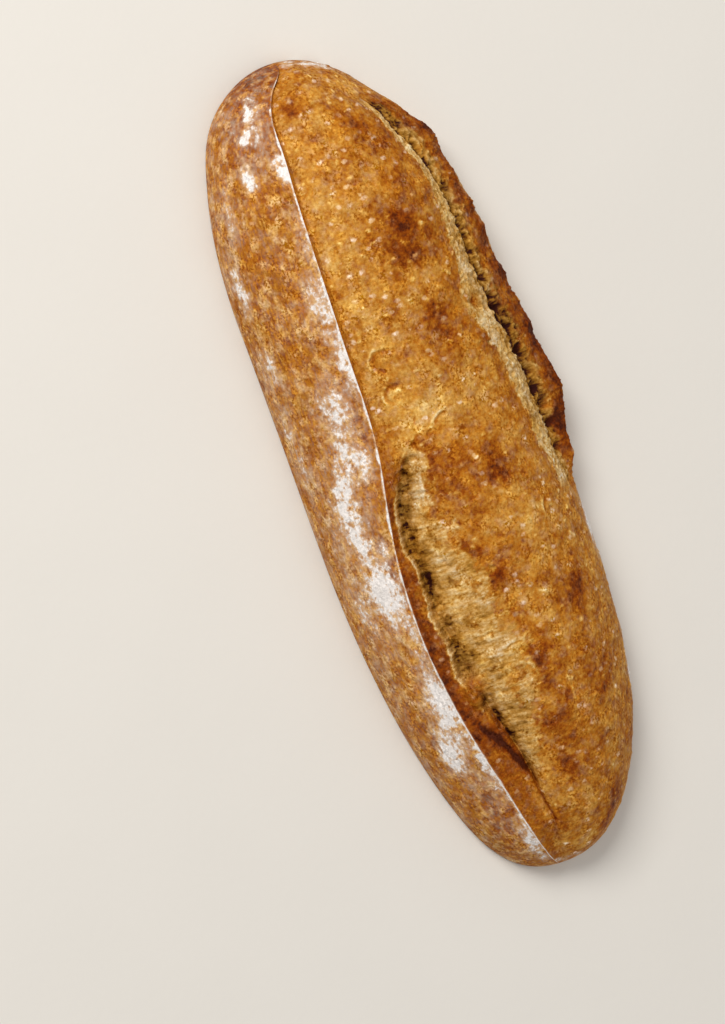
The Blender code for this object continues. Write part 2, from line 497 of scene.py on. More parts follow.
@dataclass(frozen=True)
class BakeMap:
    """Where the oven browned the crust more or less than usual, and the blisters' and cracks' edges, with
    painted shade in the fissures and painted light on the raised edges.
    """

    usual: float = 0.54
    toasted: tuple[Patch, ...] = patches(
        (22, 80, 5, 7, 0.12), (33, 70, 9, 12, 0.14), (62, 81, 9, 12, 0.30), (81, 98, 5, 5, 0.14),
        (88, 80, 6, 8, 0.16), (96, 86, 5, 6, 0.14), (15, 102, 5, 5, 0.14), (135, 80, 8, 10, 0.24),
        (131, 98, 9, 6, 0.14), (150, 95, 8, 5, 0.12), (176, 63, 8, 9, 0.24), (202, 62, 9, 8, 0.16),
        (193, 87, 8, 5, 0.20), (208, 85, 7, 5, 0.18), (229, 91, 7, 6, 0.22), (245, 56, 6, 9, 0.22),
        (166, 90, 7, 4, 0.12), (228, 80, 22, 40, 0.05), (14, 97, 9, 14, 0.10),
    )
    pale: tuple[Patch, ...] = patches(
        (74, 82, 5, 6, 0.14), (62, 108, 46, 8, 0.14), (112, 92, 6, 14, 0.16), (112, 106, 7, 8, 0.12),
        (98, 100, 10, 6, 0.10), (142, 80, 2.2, 3, 0.24), (227, 101, 12, 6, 0.12), (240, 85, 8, 9, 0.08),
        (157, 73, 10, 7, 0.06),
    )
    cracks: tuple[Crack, ...] = (
        Crack(((112.8, 91), (113.3, 94.5), (114.9, 97.2), (117.4, 98.8)), 0.45, 0.30, -0.34),
        Crack(((113.9, 92), (114.5, 94.8), (115.8, 96.6)), 0.50, -0.45, 0.28),
        Crack(((147.8, 60.2), (149.0, 62.9), (151.4, 64.4), (154.5, 64.8)), 0.42, 0.30, -0.32),
        Crack(((149.0, 60.5), (150.2, 62.0), (152.4, 63.0)), 0.50, -0.40, 0.26),
        Crack(((90.9, 105.0), (90.5, 109.6), (92.4, 112.6), (95.2, 112.0), (96.6, 109.0)), 0.80, -0.60, 0.24),
        Crack(((89.6, 107.0), (89.6, 111.2), (92.2, 114.6), (95.6, 113.9)), 0.40, 0.28, -0.26),
        Crack(
            ((101.6, 106.0), (101.4, 109.6), (102.8, 112.2), (105.0, 112.4), (106.2, 110.6)),
            0.55, -0.60, 0.22,
        ),
        Crack(((101.2, 111.4), (103.0, 114.0), (106.2, 113.6)), 0.38, 0.28, -0.26),
        Crack(((103.2, 105.6), (103.2, 108.0), (104.0, 109.8)), 0.85, 0.25, -0.36),
        Crack(
            ((116, 101.5), (117.9, 106.7), (120.6, 110.4), (123.5, 115.2), (128.1, 118.4)),
            0.35, 0.28, -0.22,
        ),
        Crack(((112.5, 103.6), (114.5, 104.4)), 0.35, -0.40, 0.35),
        Crack(((224.5, 109.8), (228, 109.6), (232, 109.2), (238, 107.0), (243.5, 104.2)), 0.55, -0.60, 0.30),
        Crack(((174.6, 80.5), (175.3, 77.5)), 0.50, 0.25, -0.42),
        Crack(((202.3, 81.8), (203.3, 78.6)), 0.55, 0.30, -0.45),
        Crack(((203.3, 78.6), (207.0, 80.6), (210.0, 80.0)), 0.30, 0.15, -0.25),
        Crack(((137.6, 100.4), (138.4, 97.6)), 0.55, 0.25, -0.42),
        Crack(((162.0, 52.5), (163.5, 49.5)), 0.50, 0.20, -0.40),
        Crack(((74.0, 71.0), (75.4, 67.8)), 0.45, 0.20, -0.34),
        Crack(((57.5, 74.5), (58.3, 72.2)), 0.45, 0.20, -0.34),
    )

    def tone(self, along: Array, angle: Array) -> Array:
        """How far the crust is browned, from 0 to 1, without its fine mottle."""
        return self.usual + covered(self.toasted, along, angle) - covered(self.pale, along, angle)


class CrustBuilder:
    """Lays sheets of the crust out from the loaf's form, with their fine relief and their marks."""

    COLUMNS = {
        Stretch.SKIN: 110,
        Stretch.FACE: 26,
        Stretch.TORN: 42,
        Stretch.CRUST: 63,
        Stretch.SLOPE: 32,
        Stretch.EAR: 32,
        Stretch.FLANK: 50,
    }
    EDGE_WAVE = 1.6
    EDGE_ANGLE = 1.2
    BRINK: Line = ((121, 0.50), (129, 0.50), (137, 0.42), (150, 0.48), (156, 0.78), (164, 0.76), (172, 0.67),
                   (180, 0.73), (187, 0.65), (193, 0.66), (202, 0.74), (209, 0.86), (228, 0.86), (260, 0.60))
    BRINK_LEVEL = 0.36
    BRINK_FALL = 0.13
    EDGE_RISE = 1.2
    THIN, THICK, THICK_POWER = 2.0, 12.0, 1.2
    TIP: Line = (
        (0, 17), (10, 17), (25, 10), (45, 5.8), (76, 4.4), (102, 4.8), (116, 6.0), (130, 8), (180, 8),
    )
    POINT = (256.0, 259.0)
    CUT_FADE = (0.0, 5.0)
    WRINKLED = (17.0, 3.0)
    WRINKLE_HEIGHT = 0.42
    WRINKLES = Streaks(1.7, 26, 3.5, octaves=2)
    SWELLS = Waves(7.0, 0.40)
    SMALL = Waves(1.5, 1.0, 9.0, 2, 0.6)
    BLISTER_SIZE = 3.3
    BLISTERS = Bubbles((0.45, 0.6), (0.10, 0.45))
    FLECK_SIZE = (2.5, 6.0, 2.5)
    FLECKS = Bubbles((0.66, 0.76), (0.12, 0.27))
    WANDER = (Waves(7.0, 4.5, 1.1, 4, 0.6), Waves(7.0, 4.5, 6.3, 4, 0.6))
    CONTRAST = Waves(4.0, 0.5, 4.0, 2)
    CLOUDING = (Waves(13.0, 0.12, 2.0, 2), Waves(5.5, 0.24, 6.0, 4, 0.62))
    TIP_EDGE = Waves(2.2, 1.3, 13.0, 2)
    TIP_TONE, TIP_FLOUR = 0.60, 0.24
    TIP_MOTTLE = Waves(2.0, 0.2, octaves=2)
    TIP_DUST = Streaks(1.6, 24, 6.5, 0.90)
    WORN_TO, WORN = 0.68, Streaks(5.5, 90, 7.5)

    def __init__(self, form: LoafForm, bake_map: BakeMap, stations: int, seed: int) -> None:
        """Works out the feature lines at every station.

        Args:
            form: the loaf's lines and sizes.
            bake_map: where it is browned and cracked.
            stations: how many rows of points lie along the loaf.
            seed: starts the noise.
        """
        self.form = form
        self.bake_map = bake_map
        self.grain = Grain(seed)
        self.along = form.stations(stations)
        self.tear = form.tear(self.along)
        self.gap = form.gap(self.along)
        along = self.along
        fine = [self._edge(row) for row in range(7)]
        torn = smooth_step(form.tear_start[0] - form.tear_run_in, form.tear_start[1], along)
        ridge = on_line(form.ridge, along)
        foot = blend(ridge - form.step_width, on_line(form.crevice, along) + 0.8 * fine[0] * self.tear, torn)
        ragged = form.ragged_angle * form.ragged(along, 2) + 1.2 * fine[1]
        lip = on_line(form.lip, along) + ragged * self.gap
        torn_edge = blend(blend(foot, lip, form.untorn_share), on_line(form.torn, along), torn)
        torn_edge += (form.ragged_angle * form.ragged(along, 1) + 1.8 * fine[2]) * self.tear
        split = on_line(form.split, along) + (0.9 * fine[3] + 1.1 * form.ragged(1.9 * along, 5)) * self.gap
        ear = on_line(form.ear, along) + 0.7 * fine[6] * self.gap
        self.lines = {
            Stretch.SKIN: (np.full_like(along, 180.0), ridge),
            Stretch.FACE: (ridge, foot),
            Stretch.TORN: (foot, torn_edge),
            Stretch.CRUST: (torn_edge, lip),
            Stretch.SLOPE: (lip, split),
            Stretch.EAR: (split, ear),
            Stretch.FLANK: (ear, np.zeros_like(along)),
        }
        spikes = 0.7 * np.maximum(0, fine[4] + 0.35 * fine[5])
        rough = form.ragged_height * form.ragged(along, 3) + spikes
        self.ear_lift = (on_line(form.ear_heights, along) + rough) * self.gap
        self.lift = blend(form.ridge_lift, form.ridge_lift_torn, self.tear)
        self.depth = blend(form.step_depth, form.tear_depth, self.tear)
        jags = 0.10 * fine[5] + 0.08 * form.ragged(along, 4)
        self.brink = np.clip(on_line(self.BRINK, along) + jags, 0.3, 0.87)
        self.swell = form.bloom_swell - form.dimple_depth * bell(along, form.dimple_at, form.dimple_spread)

    def _edge(self, row: int) -> Array:
        """Fine raggedness of an edge, in degrees."""
        spots = np.stack([self.along / self.EDGE_WAVE, 0 * self.along + 5.5 * row, 0 * self.along], axis=-1)
        return self.EDGE_ANGLE * self.grain.cloud(spots, 3, 0.6)

    def _bloom(self, angle: Array) -> Array:
        """The swell of the crust between the scores."""
        foot, lip = self.lines[Stretch.TORN][0][:, None], self.lines[Stretch.SLOPE][0][:, None]
        return self.swell[:, None] * np.sin(math.pi * np.clip((foot - angle) / (foot - lip), 0, 1))

    def _face(self, share: Array) -> Array:
        """The inner face of the ridge, which breaks off at a brink where the crust is torn.

        Args:
            share: how far each point lies from the crest to the foot.

        Returns:
            Its relief, in mm.
        """
        lift, depth, tear, brink = (one[:, None] for one in (self.lift, self.depth, self.tear, self.brink))
        level = blend(lift, -depth, self.BRINK_LEVEL)
        above = blend(lift, level, np.clip(share / brink, 0, 1))
        broken = blend(above, -depth, smooth_step(brink, brink + self.BRINK_FALL, share))
        return blend(blend(lift, -depth, share), broken, tear)

    def _plain(self, stretch: Stretch, angle: Array, share: Array) -> Array:
        """The main relief of one stretch.

        Args:
            stretch: which one.
            angle: the points' angles.
            share: how far each point lies across the stretch.

        Returns:
            The relief, in mm.
        """
        form, gap = self.form, self.gap[:, None]
        lift, depth, ear_lift = self.lift[:, None], self.depth[:, None], self.ear_lift[:, None]
        if stretch is Stretch.SKIN:
            return lift * np.exp((self.lines[stretch][1][:, None] - angle) / form.ridge_spread)
        if stretch is Stretch.FACE:
            return self._face(share)
        if stretch is Stretch.TORN:
            return self._bloom(angle) - depth * (1 - share) ** form.tear_slope
        if stretch is Stretch.CRUST:
            return self._bloom(angle)
        if stretch is Stretch.SLOPE:
            return -form.split_depth * gap * share**form.split_slope
        if stretch is Stretch.EAR:
            return blend(-form.split_depth * gap, ear_lift, share)
        return ear_lift * (angle / self.lines[stretch][0][:, None]) ** 2

    def sheet(self, stretches: Sequence[Stretch]) -> Surface:
        """The sheet over neighbouring stretches, with both of its side edges.

        Args:
            stretches: the stretches in order across the loaf.

        Returns:
            The sheet with its main relief, and no marks yet.
        """
        angles, reliefs, shares, names = [], [], [], []
        for stretch in stretches:
            start, end = (line[:, None] for line in self.lines[stretch])
            count = self.COLUMNS[stretch]
            last = stretch is stretches[-1]
            share = (np.arange(count + last) / count)[None, :]
            angle = blend(start, end, share)
            angles.append(angle)
            reliefs.append(self._plain(stretch, angle, share))
            shares.append(np.broadcast_to(share, angle.shape))
            names += [stretch] * (count + last)
        angle = np.concatenate(angles, axis=1)
        along, tear, gap = (
            np.broadcast_to(one[:, None], angle.shape) for one in (self.along, self.tear, self.gap)
        )
        relief, share = np.concatenate(reliefs, axis=1), np.concatenate(shares, axis=1)
        return Surface(along, angle, relief, share, names, tear, gap, self.form.arch(along, angle))

    def baked(self, sheet: Surface) -> tuple[Array, Array]:
        """The low relief and tone of baked crust, the same on both sides of a seam, with painted shade and
        light at cracks and flecks.

        Args:
            sheet: the sheet that the crust lies on.

        Returns:
            The relief in mm and the tone from 0 to 1.
        """
        grain, ground = self.grain, sheet.ground
        near, _, lot = grain.cells(ground / self.BLISTER_SIZE)
        blister = self.BLISTERS.over(near, lot)
        small = self.SMALL.over(grain, ground)
        relief = self.SWELLS.over(grain, ground) + 0.22 * small + 0.18 * blister
        wander = [waves.over(grain, ground) for waves in self.WANDER]
        usual = self.bake_map.usual
        tone = self.bake_map.tone(sheet.along + wander[0], sheet.angle + 1.5 * wander[1])
        tone = usual + (tone - usual) * (1 + self.CONTRAST.over(grain, ground))
        for clouding in self.CLOUDING:
            tone = tone + clouding.over(grain, ground)
        # Pale, slightly raised flecks: partly the crust's own pale flecks, partly painted highlight on its
        # micro-bumps.
        place = sheet.unrolled(*self.FLECK_SIZE)
        place[..., 0] += 0.25 * wander[0]
        near, _, lot = grain.cells(place)
        fleck = self.FLECKS.over(near + 0.10 * small, lot)
        relief = relief + 0.16 * fleck
        tone = tone - 0.10 * blister - 0.16 * small - 0.36 * fleck
        lip = self.lines[Stretch.SLOPE][0][:, None]
        tone = tone + 0.10 * sheet.gap * bell(sheet.angle - lip, 1.5, 4.0) * (1 + 1.2 * small)
        # Cracks: painted shade in the fissures, paler crust and painted light on the raised edges.
        for crack in self.bake_map.cracks:
            cover = crack.cover(sheet.along + 0.08 * wander[0], sheet.angle + 0.2 * wander[1])
            cover = cover * (0.9 + 0.9 * small)
            relief = relief + crack.relief * cover
            tone = tone + crack.tone * cover
        off_cut = smooth_step(*self.CUT_FADE, np.minimum(sheet.angle, 180 - sheet.angle))
        return (relief + self.wrinkles(sheet)) * off_cut, tone

    def wrinkles(self, sheet: Surface) -> Array:
        """The wrinkles of the skin round the blunt end."""
        wrinkled = smooth_step(*self.WRINKLED, sheet.along)
        return self.WRINKLE_HEIGHT * wrinkled * self.WRINKLES.over(self.grain, sheet)

    def wrapped(self, sheet: Surface, tone: Array, flour: Array) -> tuple[Array, Array]:
        """The tone and flour of crust with the wrinkled, floured skin of the loaf's ends over it.

        Args:
            sheet: the sheet that the crust lies on.
            tone: its tone.
            flour: its flour.

        Returns:
            The tone and the flour.
        """
        ragged = sheet.along + self.TIP_EDGE.over(self.grain, sheet.ground)
        skin = smooth_step(0.6, -0.6, ragged - on_line(self.TIP, sheet.angle))
        skin = np.maximum(skin, 0.8 * smooth_step(*self.POINT, ragged))
        mottled = self.TIP_TONE + self.TIP_MOTTLE.over(self.grain, sheet.ground)
        dusty = self.TIP_FLOUR + self.TIP_DUST.over(self.grain, sheet)
        return blend(tone, mottled, skin), blend(flour, dusty, skin)

    def worn(self, sheet: Surface) -> Array:
        """How much flour is left on the ridge's crest, from about 0.2 to 1.1, along the loaf."""
        worn = self.WORN_TO + self.WORN.over(self.grain, sheet)
        return np.clip(worn, 0.2, 1.1) * smooth_step(2.5, 6.0, sheet.along)

    def points(self, sheet: Surface) -> Array:
        """The sheet's points, with relief that fades at the ends and at the cut.

        Args:
            sheet: the places, with their relief.

        Returns:
            The points, in metres.
        """
        form = self.form
        fade = smooth_step(0, form.end_fade, form.taper(sheet.along))
        spots = (sheet.ground / form.lump_wave).reshape(-1, 3)
        lump = np.array([noise.noise(Vector(spot)) for spot in spots])
        lump = lump.reshape(fade.shape) * np.sin(np.radians(sheet.angle)) * form.lump_height
        return (sheet.ground + form.outward(sheet.angle) * (fade * (sheet.relief + lump))[..., None]) * MM

    def piece(self, name: str, sheet: Surface, material: bpy.types.Material) -> bpy.types.Object:
        """Makes and dresses a piece of crust.

        Args:
            name: the piece's name.
            sheet: its outer side, with its relief and marks.
            material: its finish.

        Returns:
            The piece, closed by its lining.
        """
        lining = self.lining(sheet.angle[:, -1], sheet.angle[:, 0])
        made = lay_grid(name, self.points(sheet), lining, sheet.marks)
        dress(made, material, "crust")
        return made

    def lining(self, start: Array, end: Array, columns: int = 6) -> Array:
        """The inner wall of a piece, well below every tear, in metres.

        Args:
            start: the angle at which the wall starts, at each station.
            end: the angle at which it ends.
            columns: how many stretches it has.

        Returns:
            Its points, stations by columns by three coordinates.
        """
        form = self.form
        angle = blend(start[:, None], end[:, None], np.linspace(0, 1, columns + 1))
        angle = np.clip(angle, self.EDGE_RISE, 180 - self.EDGE_RISE)
        along = np.broadcast_to(self.along[:, None], angle.shape)
        thick = self.THIN + self.THICK * np.sin(np.radians(angle)) ** self.THICK_POWER
        thick = thick * form.taper(along)
        return (form.arch(along, angle) - form.outward(angle) * thick[..., None]) * MM


# ----------------------------------------------------------------------------------------- mesh making


def deselect_all() -> None:
    """Clears the selection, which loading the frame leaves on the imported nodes."""
    if bpy.context.object and bpy.context.object.mode != "OBJECT":
        bpy.ops.object.mode_set(mode="OBJECT")
    bpy.ops.object.select_all(action="DESELECT")


def lay_grid(name: str, points: Array, lining: Array, marks: Mapping[str, Array]) -> bpy.types.Object:
    """A closed piece: a grid wrapped round the loaf's length, its outer side shaped and its inner side plain.

    Args:
        name: the piece's name.
        points: the outer side, stations by columns by three coordinates, in metres.
        lining: the inner side, from the outer side's last column back to its first.
        marks: values for each outer point, kept as attributes of the mesh.

    Returns:
        The piece, smooth, with its ends merged into poles and its rims sharp.
    """
    outer, inner = points.shape[1], lining.shape[1]
    points = np.concatenate([points, lining, points[:, :1]], axis=1)
    rows, columns = points.shape[:2]
    rims = np.zeros((rows, columns))
    rims[:, [0, outer - 1, -1]] = 1
    within = np.minimum(np.arange(columns), outer - 1) * (np.arange(columns) < outer + inner)
    deselect_all()
    bpy.ops.mesh.primitive_grid_add(x_subdivisions=rows - 1, y_subdivisions=columns - 1, size=2)
    piece = bpy.context.object
    piece.name = piece.data.name = name
    flat = np.empty(len(piece.data.vertices) * 3, np.float32)
    piece.data.vertices.foreach_get("co", flat)
    flat = flat.reshape(-1, 3)
    row = np.rint((flat[:, 0] + 1) / 2 * (rows - 1)).astype(int)
    column = np.rint((1 - flat[:, 1]) / 2 * (columns - 1)).astype(int)
    piece.data.vertices.foreach_set("co", points[row, column].astype(np.float32).ravel())
    outside = {key: values[:, within] for key, values in marks.items()}
    for key, values in {**outside, "rim_line": rims}.items():
        mark = piece.data.attributes.new(key, "FLOAT", "POINT")
        mark.data.foreach_set("value", values[row, column].astype(np.float32))
    bpy.ops.object.mode_set(mode="EDIT")
    bpy.ops.mesh.select_all(action="SELECT")
    bpy.ops.mesh.remove_doubles(threshold=0.002 * MM)
    bpy.ops.mesh.normals_make_consistent(inside=False)
    bpy.ops.object.mode_set(mode="OBJECT")
    bpy.ops.object.shade_smooth()
    sharpen_rims(piece.data)
    return piece


def sharpen_rims(mesh: bpy.types.Mesh) -> None:
    """Makes the edges along the rims sharp, where the crust folds into a wall.

    Args:
        mesh: a crust mesh with its rim lines marked.
    """
    on_rim = np.empty(len(mesh.vertices), np.float32)
    mesh.attributes["rim_line"].data.foreach_get("value", on_rim)
    ends = np.empty(len(mesh.edges) * 2, np.int32)
    mesh.edges.foreach_get("vertices", ends)
    mesh.edges.foreach_set("use_edge_sharp", np.all(on_rim[ends.reshape(-1, 2)] > 0.5, axis=1))
    mesh.attributes.remove(mesh.attributes["rim_line"])
    mesh.update()


def dress(piece: bpy.types.Object, material: bpy.types.Material, slot: str) -> None:
    """Gives the piece its material and its place in the frame.

    Args:
        piece: the finished piece.
        material: its finish.
        slot: the name of the finish's slot, which is only logged.
    """
    piece.data.materials.clear()
    piece.data.materials.append(material)
    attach(piece, BODY)
    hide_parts(NODE)
    log.info("%s: %d faces, slot %s", piece.name, len(piece.data.polygons), slot)


# ------------------------------------------------------------------------------------------- materials


class Wire:
    """A number in a shader, on which Python's operators add Math nodes."""

    def __init__(self, graph: "Graph", socket: bpy.types.NodeSocket) -> None:
        """Wraps an output socket of the graph."""
        self.graph = graph
        self.socket = socket

    def _math(self, operation: str, first: Any, second: Any = 0.0, clamp: bool = False) -> "Wire":
        """A Math node on two values, each a wire or a number."""
        settings = {"operation": operation, "use_clamp": clamp}
        return Wire(self.graph, self.graph.node("ShaderNodeMath", settings, {0: first, 1: second}).outputs[0])

    def __add__(self, other: Any) -> "Wire":
        """self + other."""
        return self._math("ADD", self, other)

    __radd__ = __add__

    def __sub__(self, other: Any) -> "Wire":
        """self - other."""
        return self._math("SUBTRACT", self, other)

    def __rsub__(self, other: Any) -> "Wire":
        """other - self."""
        return self._math("SUBTRACT", other, self)

    def __mul__(self, other: Any) -> "Wire":
        """self * other."""
        return self._math("MULTIPLY", self, other)

    __rmul__ = __mul__

    def clamp(self) -> "Wire":
        """self, held between 0 and 1."""
        return self._math("ADD", self, 0.0, clamp=True)

    def most(self, other: Any) -> "Wire":
        """The larger of the two."""
        return self._math("MAXIMUM", self, other)

    def rise(self, low: float, high: float) -> "Wire":
        """0 below low, 1 above high, and an S-shaped rise between them.

        Args:
            low: the value where it starts.
            high: the value where it ends.

        Returns:
            The rise.
        """
        made = self.graph.node(
            "ShaderNodeMapRange",
            {"interpolation_type": "SMOOTHSTEP"},
            {"Value": self, "From Min": low, "From Max": high},
        )
        return Wire(self.graph, made.outputs[0])


@dataclass(frozen=True)
class Speckle:
    """Noise in a material, by its waves' length in mm, the finer waves on it and its stretch."""

    size: float
    detail: float = 2.0
    rough: float = 0.5
    stretch: Colour = (1, 1, 1)


class Graph:
    """A material's nodes, on the piece's own coordinates."""

    def __init__(self, name: str) -> None:
        """Starts a material with a bare shader.

        Args:
            name: the material's name.
        """
        self.material = bpy.data.materials.new(name)
        self.material.use_nodes = True
        self.tree = self.material.node_tree
        self.shader = self.tree.nodes["Principled BSDF"]
        self.place = self.node("ShaderNodeTexCoord").outputs["Object"]

    def node(
        self, kind: str, settings: Mapping[str, Any] | None = None, sockets: Mapping[Any, Any] | None = None
    ) -> bpy.types.Node:
        """Adds a node.

        Args:
            kind: the node's type.
            settings: its properties, set first. "stops" is a ramp's (place, colour) pairs.
            sockets: its inputs by name or number, each a wire, an output socket or a value.

        Returns:
            The node.
        """
        made = self.tree.nodes.new(kind)
        for key, value in (settings or {}).items():
            if key == "stops":
                self._stops(made.color_ramp, value)
            else:
                setattr(made, key, value)
        for key, value in (sockets or {}).items():
            self._feed(made.inputs[key], value)
        return made

    def _feed(self, socket: bpy.types.NodeSocket, value: Any) -> None:
        """Links or sets an input.

        Args:
            socket: the input.
            value: a wire, an output, a number or a colour.
        """
        if isinstance(value, Wire):
            value = value.socket
        if isinstance(value, bpy.types.NodeSocket):
            self.tree.links.new(value, socket)
        else:
            socket.default_value = value

    @staticmethod
    def _stops(ramp: bpy.types.ColorRamp, stops: Sequence[tuple[float, Colour]]) -> None:
        """Sets a ramp's stops.

        Args:
            ramp: the ramp.
            stops: (position, colour) pairs in rising order.
        """
        while len(ramp.elements) < len(stops):
            ramp.elements.new(1.0)
        for element, (place, colour) in zip(ramp.elements, stops):
            element.position = place
            element.color = (*colour, 1.0)

    def mark(self, name: str) -> Wire:
        """A value that the piece's points carry."""
        made = self.node("ShaderNodeAttribute", {"attribute_name": name})
        return Wire(self, made.outputs["Fac"])

    def warped(self, size: float, reach: float) -> bpy.types.NodeSocket:
        """The place, pushed about in waves.

        Args:
            size: the length of the waves that push it, in mm.
            reach: twice the farthest push, in mm.

        Returns:
            The moved place.
        """
        sockets = {"Vector": self.place, "Scale": 1 / (size * MM), "Detail": 3.0, "Roughness": 0.6}
        waves = self.node("ShaderNodeTexNoise", {}, sockets)
        sockets = {0: waves.outputs["Color"], 1: (reach * MM,) * 3, 2: self.place}
        return self.node("ShaderNodeVectorMath", {"operation": "MULTIPLY_ADD"}, sockets).outputs[0]

    def _stretched(self, spot: bpy.types.NodeSocket, stretch: Colour) -> bpy.types.NodeSocket:
        """The place, scaled so that a pattern on it is longer along each axis by stretch."""
        scale = tuple(1 / one for one in stretch)
        return self.node("ShaderNodeMapping", {}, {"Vector": spot, "Scale": scale}).outputs[0]

    def speckle(self, kind: Speckle) -> Wire:
        """Noise about 0.

        Args:
            kind: its waves.

        Returns:
            The noise, from about -0.5 to 0.5.
        """
        sockets = {
            "Vector": self._stretched(self.place, kind.stretch),
            "Scale": 1 / (kind.size * MM),
            "Detail": kind.detail,
            "Roughness": kind.rough,
        }
        return Wire(self, self.node("ShaderNodeTexNoise", {}, sockets).outputs["Fac"]) - 0.5

    def cells(self, size: float, reach: float, stretch: Colour = (1, 1, 1)) -> tuple[Wire, Wire]:
        """A scatter of uneven cells.

        Args:
            size: how far apart the cells are, in mm.
            reach: how far the pattern is pushed about, in mm.
            stretch: how much longer the cells are along each axis.

        Returns:
            The distance to the middle of a cell, in sizes, and the cell's lot from 0 to 1.
        """
        spot = self._stretched(self.warped(size, reach), stretch)
        cell = self.node("ShaderNodeTexVoronoi", {}, {"Vector": spot, "Scale": 1 / (size * MM)})
        return Wire(self, cell.outputs["Distance"]), Wire(self, cell.outputs["Color"])

    def ramp(self, value: Wire, stops: Sequence[tuple[float, Colour]]) -> bpy.types.NodeSocket:
        """The colour that a ramp has at this value."""
        return self.node("ShaderNodeValToRGB", {"stops": stops}, {"Fac": value}).outputs["Color"]

    def tint(self, colour: Any, amount: Wire, shift: Colour) -> bpy.types.NodeSocket:
        """A colour with its channels shifted.

        Args:
            colour: the colour.
            amount: how far it is changed at each place.
            shift: each channel's share of that.

        Returns:
            The new colour.
        """
        sockets = {0: amount, 1: shift, 2: (1, 1, 1)}
        scale = self.node("ShaderNodeVectorMath", {"operation": "MULTIPLY_ADD"}, sockets)
        sockets = {0: colour, 1: scale.outputs[0]}
        return self.node("ShaderNodeVectorMath", {"operation": "MULTIPLY"}, sockets).outputs[0]

    def mix(self, share: Any, first: Any, second: Any) -> bpy.types.NodeSocket:
        """A colour between two.

        Args:
            share: 0 for the first and 1 for the second.
            first: a colour.
            second: a colour.

        Returns:
            The colour between them.
        """
        kind = {"data_type": "RGBA", "clamp_factor": False, "clamp_result": True}
        made = self.node("ShaderNodeMix", kind, {"Factor": share})
        for key, value in ((6, first), (7, second)):
            self._feed(made.inputs[key], (*value, 1.0) if isinstance(value, tuple) else value)
        return made.outputs[2]

    def finish(
        self, colour: bpy.types.NodeSocket, rough: Wire, height: Wire, depth: float
    ) -> bpy.types.Material:
        """Feeds the shader.

        Args:
            colour: the base colour.
            rough: the roughness.
            height: the fine relief, 0 to 1.
            depth: what a height of 1 stands for, in mm.

        Returns:
            The material.
        """
        bump = self.node("ShaderNodeBump", {}, {"Height": height, "Distance": depth * MM, "Strength": 1.0})
        self._feed(self.shader.inputs["Base Color"], colour)
        self._feed(self.shader.inputs["Roughness"], rough)
        self._feed(self.shader.inputs["Normal"], bump.outputs["Normal"])
        return self.material


